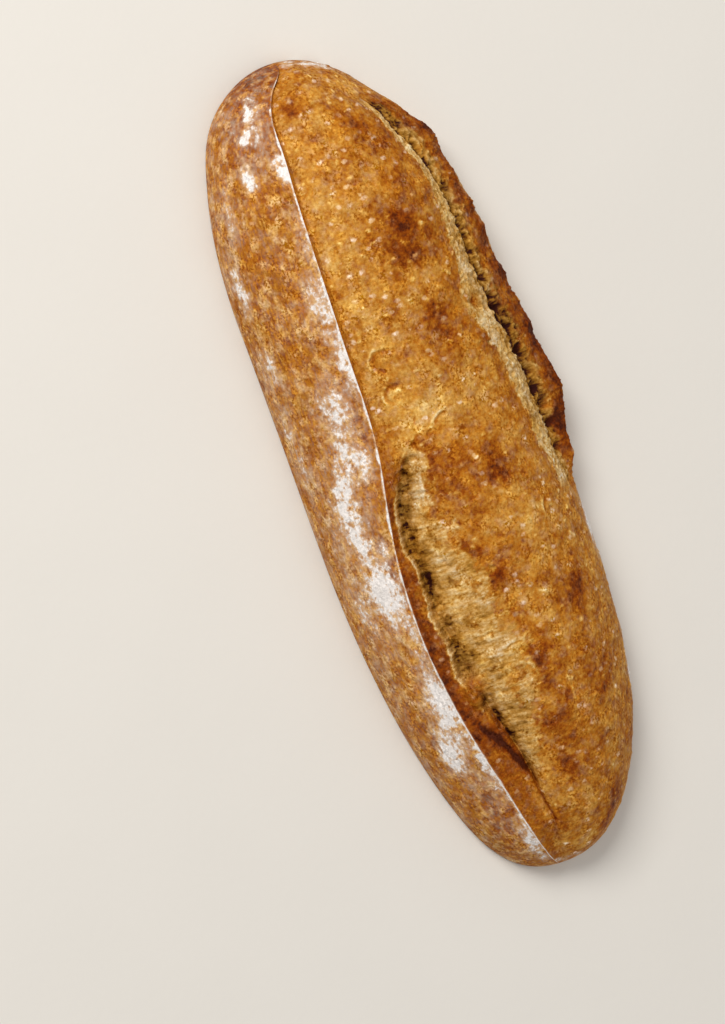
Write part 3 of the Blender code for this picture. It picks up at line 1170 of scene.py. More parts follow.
@dataclass(frozen=True)
class BakedFinish:
    """Crust from pale gold to burnt, with flour on it, torn crumb where the marks say so, and painted
    highlights and shade in its fine grain.
    """

    beads: float = 0.0
    wan: float = 0.85
    mottle: float = 0.46
    freckle: float = 0.50
    grit: float = 0.25
    fleck: float = 0.80
    # How strongly highlights and shade of the fine grain are painted into the colour.
    painted_glitter: float = 3.8
    toast: tuple[tuple[float, Colour], ...] = (
        (0.00, shade(240, 208, 146)),
        (0.20, shade(224, 178, 100)),
        (0.40, shade(200, 142, 60)),
        (0.60, shade(172, 104, 24)),
        (0.78, shade(134, 62, 4)),
        (0.92, shade(100, 42, 6)),
        (1.00, shade(72, 28, 10)),
    )
    crumb: tuple[tuple[float, Colour], ...] = (
        (0.00, shade(238, 214, 166)),
        (0.25, shade(216, 176, 114)),
        (0.50, shade(186, 136, 64)),
        (0.75, shade(142, 96, 28)),
        (0.90, shade(98, 56, 18)),
        (1.00, shade(52, 20, 14)),
    )
    pallor: Colour = shade(222, 184, 130)
    # The flecks' colour, which is partly painted highlight on the crust's micro-bumps.
    flecks: Colour = shade(240, 208, 170)
    ruddy: Colour = (0.25, -0.08, -1.5)
    # Each channel's share of the painted highlights and shade of the grain.
    painted_glint: Colour = (0.8, 1.2, 2.0)
    film: Colour = shade(232, 210, 184)
    flour: Colour = shade(236, 230, 226)
    specular: float = 0.06
    relief: float = 0.36
    mottling: Speckle = Speckle(2.8, 3.0, 0.6)
    freckles: Speckle = Speckle(0.95, 2.0, 0.6)
    gritting: Speckle = Speckle(0.8, 1.0, 0.6)
    strands: Speckle = Speckle(0.7, 2.0, 0.6, (1, 4, 4))
    streaks: Speckle = Speckle(0.9, 2.0, 0.6, (3.5, 1, 1))
    broad: Speckle = Speckle(9.0)
    warmth: Speckle = Speckle(6.0, 2.0, 0.6)
    beading: Speckle = Speckle(2.4, 1.0, 0.4, (1.5, 1, 1))
    wanness: Speckle = Speckle(2.8, 2.0, 0.55)
    glinting: Speckle = Speckle(3.6, 2.0, 0.6)
    cell_size: float = 2.8
    cell_warp: float = 1.8
    cell_stretch: Colour = (1, 1.4, 1.4)

    def material(self, name: str) -> bpy.types.Material:
        """Builds the material.

        Args:
            name: the material's name.

        Returns:
            The material, which reads the marks bake_and_shading, torn and flour.
        """
        graph = Graph(name)
        # bake_and_shading: how far the crust is browned, with the painted shade and light of its pits,
        # hollows, cracks and torn crumb.
        bake_and_shading, torn, flour = graph.mark("bake_and_shading"), graph.mark("torn"), graph.mark("flour")
        kinds = (self.mottling, self.freckles, self.gritting, self.strands, self.streaks, self.broad)
        mottle, fine, grit, strand, streak, broad = (graph.speckle(kind) for kind in kinds)
        bead = graph.speckle(self.beading).rise(-0.02, 0.18) * self.beads
        near, lot = graph.cells(self.cell_size, self.cell_warp, self.cell_stretch)
        # Pale flecks: partly the crust's own, partly painted highlight.
        fleck = (1 - (near + 0.3 * fine).rise(0.12, 0.34)) * lot.rise(0.46, 0.70)
        toast = bake_and_shading + self.mottle * mottle + self.freckle * fine + self.grit * grit
        toast = (toast + self.beads * (0.5 * streak + 0.05) - 0.16 * bead).clamp()
        inside = (bake_and_shading + 0.75 * broad + 0.30 * mottle + 0.30 * fine + 0.65 * strand).clamp()
        pallor = graph.speckle(self.wanness).rise(-0.02, 0.24) * self.wan * (0.95 - toast) + 0.18 * bead
        crust = graph.mix(pallor.clamp(), graph.ramp(toast, self.toast), self.pallor)
        crust = graph.mix((fleck * self.fleck * (1.9 - 2.2 * bake_and_shading)).clamp(), crust, self.flecks)
        colour = graph.mix(torn, crust, graph.ramp(inside, self.crumb))
        colour = graph.tint(colour, graph.speckle(self.warmth), self.ruddy)
        # Painted highlight and painted shade: the fine grain is brightened and darkened in the colour itself,
        # most in blue, so the change reads as grey glints and specks of shade.
        patchy = (graph.speckle(self.glinting).rise(-0.06, 0.22) + 0.3) * (1 - 0.5 * torn) * self.painted_glitter
        painted_glitter = ((grit + 0.35 * fine) * patchy + 0.5).clamp() - 0.5
        colour = graph.tint(colour, painted_glitter, self.painted_glint)
        floury = (flour * 5.0).clamp()
        film = (flour + 0.4 * mottle + 0.6 * streak + 0.3 * fine).rise(-0.02, 0.72) * floury * 0.60
        breakup = 1.2 * fine + 0.4 * mottle + 0.6 * streak
        dust = (flour + breakup * (flour * 2.5).clamp()).rise(0.38, 0.82) * 0.95
        colour = graph.mix(dust, graph.mix(film, colour, self.film), self.flour)
        # The same painted highlight and shade, weaker and even in every channel, on the flour.
        colour = graph.tint(colour, 0.35 * painted_glitter * dust, (1, 1, 1))
        rough = 0.55 + 0.35 * fine + 0.25 * dust.most(torn)
        height = 0.5 + 0.7 * fine + 0.2 * grit + 0.4 * mottle + 0.25 * bead + 0.1 * fleck
        graph.shader.inputs["Specular IOR Level"].default_value = self.specular
        return graph.finish(colour, rough.clamp(), height, self.relief)


@dataclass(frozen=True)
class CrumbFinish:
    """Pale open crumb with pores darkened by painted shade, and a thin brown rim of crust."""

    crumb: tuple[tuple[float, Colour], ...] = (
        (0.00, shade(100, 74, 34)),
        (0.30, shade(160, 132, 74)),
        (0.60, shade(206, 186, 132)),
        (1.00, shade(230, 216, 176)),
    )
    rim: Colour = shade(156, 92, 34)
    specular: float = 0.25
    relief: float = 0.3
    pits: Speckle = Speckle(1.4, 3.0, 0.6)
    gritting: Speckle = Speckle(0.5, 1.0)

    def material(self, name: str) -> bpy.types.Material:
        """Builds the material.

        Args:
            name: the material's name.

        Returns:
            The material, which reads the marks light and rim.
        """
        graph = Graph(name)
        light, rim = graph.mark("light"), graph.mark("rim")
        fine, grit = graph.speckle(self.pits), graph.speckle(self.gritting)
        colour = graph.ramp((light + 0.3 * fine + 0.2 * grit).clamp(), self.crumb)
        colour = graph.mix((rim + 0.6 * fine).rise(0.35, 0.75), colour, self.rim)
        height = 0.5 + 0.7 * fine + 0.4 * grit
        graph.shader.inputs["Specular IOR Level"].default_value = self.specular
        return graph.finish(colour, (0.75 + 0.2 * fine).clamp(), height, self.relief)


# ------------------------------------------------------------------------------------------- the pieces


@dataclass
class FlouredSkin:
    """The smooth -Y flank, from the cut edge up to the white crest of the ridge."""

    builder: CrustBuilder
    name: str = "floured_skin"
    flour: tuple[Patch, ...] = patches(
        (10, 134, 2.4, 4.5, 1.0), (19, 137, 1.8, 4.5, 0.9), (30, 121, 3.0, 3.5, 0.95),
        (30, 141, 3.6, 3.6, 0.8), (16, 127, 6.0, 6, 0.22), (50, 122, 5.0, 3, 0.35),
        (74, 125, 10.0, 7, 0.36), (70, 121, 8.0, 2.5, 0.15), (91, 124, 6.0, 3.0, 0.7),
        (103, 136, 7.0, 6.5, 0.50), (122, 133, 4.5, 5, 0.62), (116, 140, 5.0, 5, 0.34),
        (126, 145, 4.0, 5, 0.5), (60, 165, 7.0, 4, 0.42), (86, 163, 4.5, 3.5, 0.42),
        (38, 160, 8.0, 4, 0.35), (134, 149, 6.5, 5.5, 0.85), (145, 147, 3.5, 4, 0.7),
        (161, 145, 9.0, 6.5, 0.98), (166, 161, 5.0, 6, 0.34), (150, 163, 12.0, 5, 0.16),
        (165, 137, 20.0, 2.5, 0.42), (198, 139, 9.0, 5.5, 0.75), (214, 149, 6.5, 5.5, 0.95),
        (216, 131, 9.0, 3.5, 0.55), (235, 126, 10.0, 2.5, 0.4), (249, 128, 6.0, 8, 0.55),
        (112, 168, 14.0, 5, 0.30), (190, 168, 14.0, 5, 0.10), (14, 138, 13.0, 26, 0.12),
        (61, 168, 9.0, 5, 0.22), (87, 168, 6.0, 5, 0.20), (150, 151, 26.0, 13, 0.12),
        (205, 141, 17.0, 9, 0.20), (108, 138, 15.0, 10, 0.12), (235, 132, 16.0, 12, 0.08),
    )
    tones: tuple[Patch, ...] = patches(
        (55, 150, 18, 16, 0.04), (110, 127, 12, 5, 0.10), (150, 137, 18, 4, 0.12),
        (176, 150, 14, 10, -0.05), (235, 140, 14, 12, 0.12), (20, 112, 12, 6, 0.10),
        (14, 135, 14, 30, 0.15),
    )

    usual: float = 0.57
    clouding: Waves = Waves(9.0, 0.04, 1.0)
    mottle: Waves = Waves(3.0, 0.12, 7.0, 2)
    swells: Waves = Waves(8.0, 0.24)
    pimples: Waves = Waves(1.6, 0.10, octaves=2)
    creases: Streaks = Streaks(10, 2.6, height=0.16, octaves=2)
    bubble_size: float = 2.5
    bubbles: Bubbles = Bubbles((0.3, 0.5), (0.10, 0.50))
    wander: tuple[Waves, Waves] = (Waves(5.0, 3.6, 3.1, 3, 0.65), Waves(5.0, 3.6, 8.7, 3, 0.65))
    breakup: Waves = Waves(2.3, 1.5, 4.0, 3, 0.65)
    film: Waves = Waves(8.0, 0.15, 5.0, 4, 0.65)
    streaks: Streaks = Streaks(12, 3.4, 2.5)
    brim: Streaks = Streaks(4, 90, 3.5, 0.018, 2)

    def build(self, material: bpy.types.Material) -> bpy.types.Object:
        """Makes and dresses the flank.

        Args:
            material: what its slot holds.

        Returns:
            The piece.
        """
        builder, grain = self.builder, self.builder.grain
        sheet = builder.sheet([Stretch.SKIN])
        ground, share = sheet.ground, sheet.share
        off_crest = 1 - smooth_step(0.93, 0.985, share)
        off_cut = smooth_step(*builder.CUT_FADE, 180 - sheet.angle)
        near, _, lot = grain.cells(ground / self.bubble_size)
        bubble = self.bubbles.over(near, lot)
        bumps = self.swells.over(grain, ground) + 0.13 * bubble + self.pimples.over(grain, ground)
        creases = self.creases.over(grain, sheet) + builder.wrinkles(sheet)
        sheet.relief = sheet.relief + off_crest * off_cut * (bumps + creases)
        wander = [waves.over(grain, ground) for waves in self.wander]
        dust = covered(self.flour, sheet.along + wander[0], sheet.angle + 1.3 * wander[1])
        dust = dust * np.clip(1.06 + self.breakup.over(grain, ground), 0, 1.9)
        film = 0.11 + self.film.over(grain, ground)
        streak = 0.24 * smooth_step(0.26, 0.02, share) * (0.35 + self.streaks.over(grain, sheet))
        brim = 0.987 - self.brim.over(grain, sheet)
        crest = 1.02 * smooth_step(-0.006, 0.008, share - brim) * builder.worn(sheet)
        tone = self.usual + self.clouding.over(grain, ground) + self.mottle.over(grain, ground)
        tone = tone + covered(self.tones, sheet.along, sheet.angle) - 0.10 * bubble
        tone = tone + 0.16 * smooth_step(9, 3, sheet.along)
        sheet.marks = {"bake_and_shading": tone, "torn": 0 * tone, "flour": dust + film + streak + crest}
        return builder.piece(self.name, sheet, material)


@dataclass
class BloomedCrust:
    """The crust between the scores, with the ridge's inner face and the torn slope beside it."""

    builder: CrustBuilder
    name: str = "bloomed_crust"
    crumb_edge: Line = (
        (110, 112), (121, 107), (128, 107), (136, 109), (143, 111.5), (147, 106), (152, 107.5),
        (156, 104.5), (162, 98), (168, 99), (176, 98), (186, 95), (196, 95.5), (206, 98),
        (214, 101), (222, 103), (232, 106), (250, 110),
    )
    # Pits in the torn crumb, each also darkened with painted shade.
    pits: tuple[Patch, ...] = patches(
        (118.7, 100.6, 0.8, 0.8, 0.8), (118.0, 106.0, 0.9, 1.0, 0.9), (120.6, 108.2, 1.5, 1.5, 1.3),
        (124.4, 109.4, 1.1, 2.0, 1.4), (125.2, 114.0, 1.4, 2.2, 2.1), (128.2, 116.6, 1.6, 1.6, 1.7),
        (157.0, 112.5, 0.8, 1.0, 1.2), (191.0, 121.0, 2.0, 1.6, 1.4),
    )
    flap: tuple[Patch, ...] = patches((196.5, 121.0, 2.6, 4.0, 4.6), (200.5, 123.0, 2.2, 2.4, 2.6))
    # The burnt groove: its dark tone is partly burnt crust, partly painted shade in the groove.
    burnt: Crack = Crack(
        ((204.5, 128.0), (207.5, 126.6), (210, 124.8), (213, 121.4), (217, 118.2), (221, 115.0),
         (225.5, 112.2)),
        1.2, -0.85, 0.40,
    )
    opens_at: float = 118
    opens_slant: float = 0.85
    opens_angle: float = 107
    closing: tuple[float, float] = (212, 240)
    face_end: tuple[float, float] = (200, 208)
    burnt_from: tuple[float, float] = (203, 212)
    browner_from: tuple[float, float] = (205, 215)
    browned_slope: tuple[float, float] = (165, 200)
    browned_face: tuple[float, float] = (186, 22)
    craggy: Waves = Waves(1.7, 1.0, 3.0, 3, 0.65)
    drift: Waves = Waves(4.0, 1.0, 3.0, 3, 0.65)
    islands: Waves = Waves(4.2, 1.0, 11.0, 4, 0.65)
    warp: Waves = Waves(4.5, 1.6)
    strands: Streaks = Streaks(1.1, 9, keep=0.6)
    broad: Streaks = Streaks(3.4, 14, 4.5, octaves=2)
    hole_size: tuple[float, float, float] = (1.7, 3.6, 0.5)
    holes: Bubbles = Bubbles((0.55, 0.8), (0.10, 0.42))
    lumps: Waves = Waves(2.6, 0.6, 8.0, 2)
    face_tone: tuple[float, float] = (0.64, 0.71)
    face_mottle: Waves = Waves(3.5, 0.16)
    slope_tone: float = 0.34
    flap_tone: float = 0.62

    def build(self, material: bpy.types.Material) -> bpy.types.Object:
        """Makes and dresses the bloom.

        Args:
            material: what its slot holds.

        Returns:
            The piece.
        """
        builder, grain, form = self.builder, self.builder.grain, self.builder.form
        sheet = builder.sheet([Stretch.FACE, Stretch.TORN, Stretch.CRUST])
        face, torn, crust = (sheet.where(one) for one in (Stretch.FACE, Stretch.TORN, Stretch.CRUST))
        ground, share, tear, along, angle = sheet.ground, sheet.share, sheet.tear, sheet.along, sheet.angle
        ends = smooth_step(0.0, 0.5, form.taper(along))
        low, tone = builder.baked(sheet)

        brink = builder.brink[:, None]
        craggy, drift = self.craggy.over(grain, ground), self.drift.over(grain, ground)
        edge = on_line(self.crumb_edge, along)
        start = self.opens_at + self.opens_slant * (angle - self.opens_angle) - 2.0 * drift - craggy
        opening = smooth_step(-0.6, 1.4, along - start) * (1 - smooth_step(*self.closing, along))
        past_brink = smooth_step(-0.02, 0.06, share - brink) * face + torn + crust
        crumb = smooth_step(-3.2, 3.2, angle - edge + 7.0 * drift + 6.0 * craggy) * past_brink
        fringe = face * bell(share - brink, 0.0, 0.06)
        island = smooth_step(0.10, 0.30, self.islands.over(grain, ground))
        crumb = np.clip(np.maximum(crumb - 0.8 * island * torn * smooth_step(0.3, 0.6, share), fringe), 0, 1)
        crumb = crumb * opening * (1 - face * smooth_step(*self.face_end, along))

        warp = self.warp.over(grain, ground)
        strand, broad = self.strands.over(grain, sheet, warp), self.broad.over(grain, sheet, 0.5 * warp)
        place = sheet.unrolled(*self.hole_size)
        place[..., 0] += 0.6 * warp
        near, _, lot = grain.cells(place)
        hole = self.holes.over(near, lot)
        fibres = 0.42 * strand + 0.60 * broad - 0.32 * hole + 0.30 * craggy
        # How deep in the crevice a place lies; it also darkens the crumb there with painted shade.
        deep = (1 - smooth_step(0.0, 0.36, share)) * torn + face * smooth_step(0.0, 0.12, share - brink)
        off_ridge = 1 - face * smooth_step(0.16, 0.0, share)
        pit = np.clip(covered(self.pits, along, angle), 0, 3)
        flap = covered(self.flap, along, angle) * (1 - crust)
        relief = blend(low, fibres, crumb) + 0.35 * craggy * face * tear
        relief = relief + self.lumps.over(grain, ground) * deep * tear * smooth_step(0.02, 0.12, share)
        burnt = self.burnt.cover(along + drift, angle + drift) * smooth_step(*self.burnt_from, along)
        sheet.relief = sheet.relief + relief * ends * off_ridge - pit + flap + self.burnt.relief * burnt

        plain, open_face = self.face_tone
        inner = blend(plain, open_face + self.face_mottle.over(grain, ground) + 0.12 * craggy, tear)
        inner = inner + 0.10 * tear * bell(share, 0.12, 0.14) + 0.08 * bell(along, *self.browned_face) * tear
        inner = inner + 0.08 * smooth_step(*self.browner_from, along) * smooth_step(0.1, 0.6, share)
        # Painted light and shade of the torn crumb's relief: lighter on raised strands and crags, darker in
        # holes and towards the foot of the crevice.
        slope = self.slope_tone - 0.34 * strand - 0.18 * broad + 0.10 * hole
        slope = slope - 0.20 * craggy * (1 - 0.6 * deep) + 0.24 * island
        slope = slope + 0.32 * deep * (1 + 0.5 * drift) - 0.22 * fringe
        slope = slope + 0.05 * smooth_step(*self.browned_slope, along)
        rim = 0.14 * opening * bell(angle - edge, -3.5, 4.0) * (torn + crust)
        tone = blend(tone + rim, inner, face * np.maximum(tear, smooth_step(0.95, 0.35, share)))
        # Painted shade in the pits, and the burnt groove's partly burnt, partly painted shade tone.
        tone = blend(tone, slope, crumb) + 0.16 * np.clip(pit, 0, 2.5) + self.burnt.tone * burnt
        flapped = np.clip(flap / 2.5, 0, 1)
        tone = blend(tone, self.flap_tone + 0.2 * craggy, flapped)
        crest = face * smooth_step(0.05, 0.0, share) * 0.6 * builder.worn(sheet)
        tone, flour = builder.wrapped(sheet, tone, crest)
        sheet.marks = {"bake_and_shading": tone, "torn": crumb * (1 - flapped), "flour": flour}
        return builder.piece(self.name, sheet, material)


@dataclass
class RaggedEar:
    """The split along the +Y shoulder, its pale lip, the dark ear outside it, and the far flank."""

    builder: CrustBuilder
    name: str = "ragged_ear"
    burnt: tuple[Patch, ...] = patches(
        (22.5, 43, 2.8, 6, 0.30), (32, 26, 3.5, 6, 0.18), (67, 29, 3.5, 5, 0.10), (81, 29, 4.0, 5, 0.14),
        (101, 23, 7.0, 5, 0.14), (118, 20, 8.0, 4, 0.08), (131, 22, 5.0, 5, 0.14),
    )
    notch: tuple[Patch, ...] = patches((86.0, 58.5, 2.4, 3.2, 1.3))
    # Hollows along the split, sunk into the relief and darkened with painted shade.
    hollows: tuple[Patch, ...] = patches(
        (37, 2.4, 1.2, 1.6, 1.0), (52.3, 3.2, 1.9, 2.1, 2.2), (57, 2.8, 1.2, 2.1, 2.4),
        (63, 2.0, 2.4, 1.2, 1.2), (71, 2.2, 3.4, 1.4, 1.8), (80, 3.8, 1.7, 2.4, 2.8),
        (87, 3.2, 1.6, 1.8, 2.6), (90.8, 3.8, 2.3, 2.4, 3.0), (97.3, 2.8, 1.9, 1.6, 2.2),
        (106.5, 3.4, 2.3, 2.4, 2.8), (112, 2.6, 1.3, 1.7, 2.0), (118, 3.0, 1.9, 2.0, 2.4),
        (124.5, 2.2, 1.8, 1.4, 1.8), (130, 2.8, 1.9, 1.9, 2.1), (137.5, 2.4, 1.5, 1.7, 1.6),
    )
    flour: tuple[Patch, ...] = patches(
        (182, 14, 32, 7, 0.75), (60, 12, 30, 8, 0.35), (235, 20, 16, 10, 0.35),
        (164.0, 22.5, 7.5, 7.0, 2.2), (207.0, 21.0, 8.0, 5.5, 1.5),
    )
    craggy: Waves = Waves(1.6, 1.0, 3.0, 3, 0.65)
    cave_size: tuple[float, float, float] = (3.3, 6.0, 0.5)
    cave_warp: Waves = Waves(4.0, 0.8, octaves=2)
    cave_fade: tuple[float, float] = (0.05, 0.5)
    web_fade: tuple[float, float] = (0.04, 0.26)
    face_end: tuple[float, float] = (0.22, 0.54)
    face_edge: Waves = Waves(3.0, 0.36, 2.0, 3, 0.65)
    lip_edge: Waves = Waves(3.4, 0.30, octaves=4, keep=0.7)
    shell: Waves = Waves(3.2, 0.30, 5.0, 2)
    strands: Streaks = Streaks(1.3, 9, height=0.20, octaves=2)
    ear_tone: float = 0.67
    ear_mottle: Waves = Waves(4.0, 0.20, 3.0)
    crumb_tone: float = 0.30
    ear_crumb_tone: float = 0.41
    spots: Waves = Waves(2.4, 1.0, 11.0, 3, 0.6)
    worn: Waves = Waves(7.0)

    def build(self, material: bpy.types.Material) -> bpy.types.Object:
        """Makes and dresses the ear and the flank.

        Args:
            material: what its slot holds.

        Returns:
            The piece.
        """
        builder, grain, form = self.builder, self.builder.grain, self.builder.form
        sheet = builder.sheet([Stretch.SLOPE, Stretch.EAR, Stretch.FLANK])
        slope, ear, flank = (sheet.where(one) for one in (Stretch.SLOPE, Stretch.EAR, Stretch.FLANK))
        ground, share, gap, along, angle = sheet.ground, sheet.share, sheet.gap, sheet.along, sheet.angle
        ends = smooth_step(0.0, 0.5, form.taper(along))
        low, tone = builder.baked(sheet)

        craggy = self.craggy.over(grain, ground)
        place = sheet.unrolled(*self.cave_size)
        place[..., 0] += self.cave_warp.over(grain, ground)
        near, far, lot = grain.cells(place)
        web = 1 - smooth_step(*self.web_fade, far - near)
        cave = (1 - smooth_step(*self.cave_fade, near)) * (0.35 + 0.65 * lot)
        inner = slope * smooth_step(0.45, 0.9, share) + ear * smooth_step(0.62, 0.12, share)
        split = builder.lines[Stretch.EAR][0][:, None]
        hollow = np.clip(covered(self.hollows, along, split - angle), 0, 3) * (slope + ear)
        reach = share + self.face_edge.over(grain, ground)
        lip = slope * smooth_step(0.08, 0.15, share + self.lip_edge.over(grain, ground))
        crumb = np.clip(lip + ear * (1 - smooth_step(*self.face_end, reach)), 0, 1)
        crumb = crumb * smooth_step(0.15, 0.6, gap)

        shell = 0.50 * craggy + self.shell.over(grain, ground)
        torn = 0.65 * craggy + self.strands.over(grain, sheet) + inner * (0.35 * web - 1.1 * cave)
        relief = blend(low, shell, ear * gap)
        relief = blend(relief, torn, crumb)
        notched = covered(self.notch, along, angle)
        sheet.relief = sheet.relief + relief * ends - hollow * gap - 0.8 * notched

        crusty = self.ear_tone + self.ear_mottle.over(grain, ground) - 0.12 * craggy
        crusty = crusty + 0.12 * smooth_step(0.25, 1, share)
        tone = blend(tone, crusty, ear * gap)
        rind = flank * gap * smooth_step(0.10, 0.0, share)
        tone = tone + 0.12 * rind
        spots = smooth_step(0.15, 0.40, self.spots.over(grain, ground))
        # Painted light and shade of the torn crumb: lighter on raised crags and webs, darker in caves,
        # towards the bottom of the split and at the foot of the ear's inner face.
        pale = self.crumb_tone - 0.34 * craggy + 0.06 * smooth_step(0.45, 1.0, share) * slope
        pale = pale + self.ear_crumb_tone * ear + 0.20 * spots
        pale = pale + ear * (0.26 * smooth_step(0.16, 0.0, share) + 0.32 * cave - 0.22 * web)
        # The hollows along the split and the notch are darkened with painted shade.
        tone = blend(tone, pale, crumb) + 0.22 * np.clip(hollow, 0, 2.0) * gap
        tone = tone + covered(self.burnt, along, angle) + 0.30 * notched
        worn = 0.6 + self.worn.over(grain, ground)
        flour = covered(self.flour, along, angle) * worn
        flour = flour + 0.30 * flank * smooth_step(0.5, 0.95, share) * worn
        tone, flour = builder.wrapped(sheet, tone, flour)
        sheet.marks = {"bake_and_shading": tone, "torn": crumb * (1 - np.clip(notched, 0, 1)), "flour": flour}
        return builder.piece(self.name, sheet, material)


@dataclass
class CutCrumb:
    """The cut face underneath: flat crumb with large and small pores inside a rim of crust."""

    builder: CrustBuilder
    name: str = "cut_crumb"
    columns: int = 116
    dome_columns: int = 20
    seed: int = 11
    count: int = 30
    tries: int = 400
    radii: tuple[float, float] = (1.8, 6.6)
    crowding: float = 1.5
    stretch: tuple[float, float] = (1.0, 1.7)
    depth: tuple[float, float] = (0.55, 0.9)
    turn: float = 40.0
    gap: float = 1.5
    edge: float = 4.0
    rest_spot: float = 6.0
    crust: tuple[float, float] = (1.6, 3.0)
    crumb_from: tuple[float, float] = (2.2, 4.0)
    uneven: float = 0.22
    small_pores: tuple[tuple[float, float, float, float], ...] = (
        (6.0, 0.40, 2.4, 1.5),
        (3.1, 0.42, 1.4, 2.5),
        (1.7, 0.42, 0.7, 3.5),
    )
    texture: float = 0.16
    lightest: float = 0.74
    shaded: float = 0.55
    shade_depth: tuple[float, float] = (0.4, 4.0)

    def pores(self) -> list[tuple[Array, float, float, float, float]]:
        """The large pores of the cut face.

        Returns:
            Each pore's centre, radius, stretch, depth share and turn in radians.
        """
        form, draw = self.builder.form, random.Random(self.seed)
        small, large = self.radii
        found: list[tuple[Array, float, float, float, float]] = []
        for number in range(self.count):
            radius = blend(large, small, (number / (self.count - 1)) ** (1 / self.crowding))
            stretch = draw.uniform(*self.stretch)
            reach = radius * stretch
            for _ in range(self.tries):
                along = draw.uniform(reach, form.length - reach)
                narrow = min(form.taper(np.array(along - reach)), form.taper(np.array(along + reach)))
                room = form.cut_width / 2 * narrow - radius - self.edge
                side = draw.uniform(-1, 1) * room
                middle = float(on_line(form.middle, np.array(along)))
                centre = np.array([along - form.length / 2, side + middle])
                taken = [(spot, size * long + self.gap) for spot, size, long, *_ in found]
                taken.append((np.zeros(2), self.rest_spot))
                if room > 0 and all(np.linalg.norm(centre - spot) > reach + size for spot, size in taken):
                    turn = draw.uniform(-1, 1) * self.turn
                    found.append((centre, radius, stretch, draw.uniform(*self.depth), math.radians(turn)))
                    break
        return found

    def build(self, material: bpy.types.Material) -> bpy.types.Object:
        """Makes and dresses the cut face.

        Args:
            material: what its slot holds.

        Returns:
            The piece.
        """
        builder, grain, form = self.builder, self.builder.grain, self.builder.form
        share = np.linspace(-1, 1, self.columns + 1)[None, :]
        along = builder.along[:, None]
        half = form.cut_width / 2 * form.taper(along)
        x = np.broadcast_to(along - form.length / 2, (along.size, share.size))
        y = on_line(form.middle, along) + half * share
        rim = form.inset(along, half * np.abs(share))
        inside = smooth_step(*self.crumb_from, rim)
        hollow = np.zeros_like(y)

        def flat(size: float, layer: float) -> Array:
            """Coordinates for noise of this size in mm on the cut face."""
            return np.stack([x / size, y / size, 0 * x + layer], axis=-1)

        for centre, radius, stretch, depth, turn in self.pores():
            dx, dy = x - centre[0], y - centre[1]
            u = (dx * math.cos(turn) + dy * math.sin(turn)) / (radius * stretch)
            v = (dy * math.cos(turn) - dx * math.sin(turn)) / radius
            away = u * u + v * v + self.uneven * grain.wave(flat(3, 0.5))
            hollow = np.maximum(hollow, 2 * radius * depth * np.sqrt(np.maximum(0, 1 - away)))
        for size, reach, deep, layer in self.small_pores:
            places = flat(size, layer)
            places[..., :2] += 0.25 * grain.wave(flat(4, 3.5))[..., None]
            near, _, lot = grain.cells(places)
            room = reach * (0.45 + 0.8 * lot)
            bowl = np.sqrt(np.maximum(0, 1 - (near / room) ** 2))
            hollow = np.maximum(hollow, inside * deep * (0.5 + lot) * bowl)
        texture = self.texture * (1 + grain.cloud(flat(1.5, 7.5), 2))
        height = np.maximum(hollow, texture * inside) * smooth_step(0.0, 0.6, rim)
        # Painted shade: the crumb is darker in the deeper pores.
        light = self.lightest - self.shaded * smooth_step(*self.shade_depth, hollow)
        light = light + 0.10 * grain.cloud(flat(9, 1.5), 3)
        marks = {"light": light, "rim": 1 - smooth_step(*self.crust, rim) + 0 * light}
        blunt = np.zeros_like(builder.along)
        lining = builder.lining(blunt, blunt + 180, self.dome_columns)
        piece = lay_grid(self.name, np.stack([x, y, height], axis=-1) * MM, lining, marks)
        dress(piece, material, "crumb")
        return piece


# ------------------------------------------------------------------------------------------- the studio


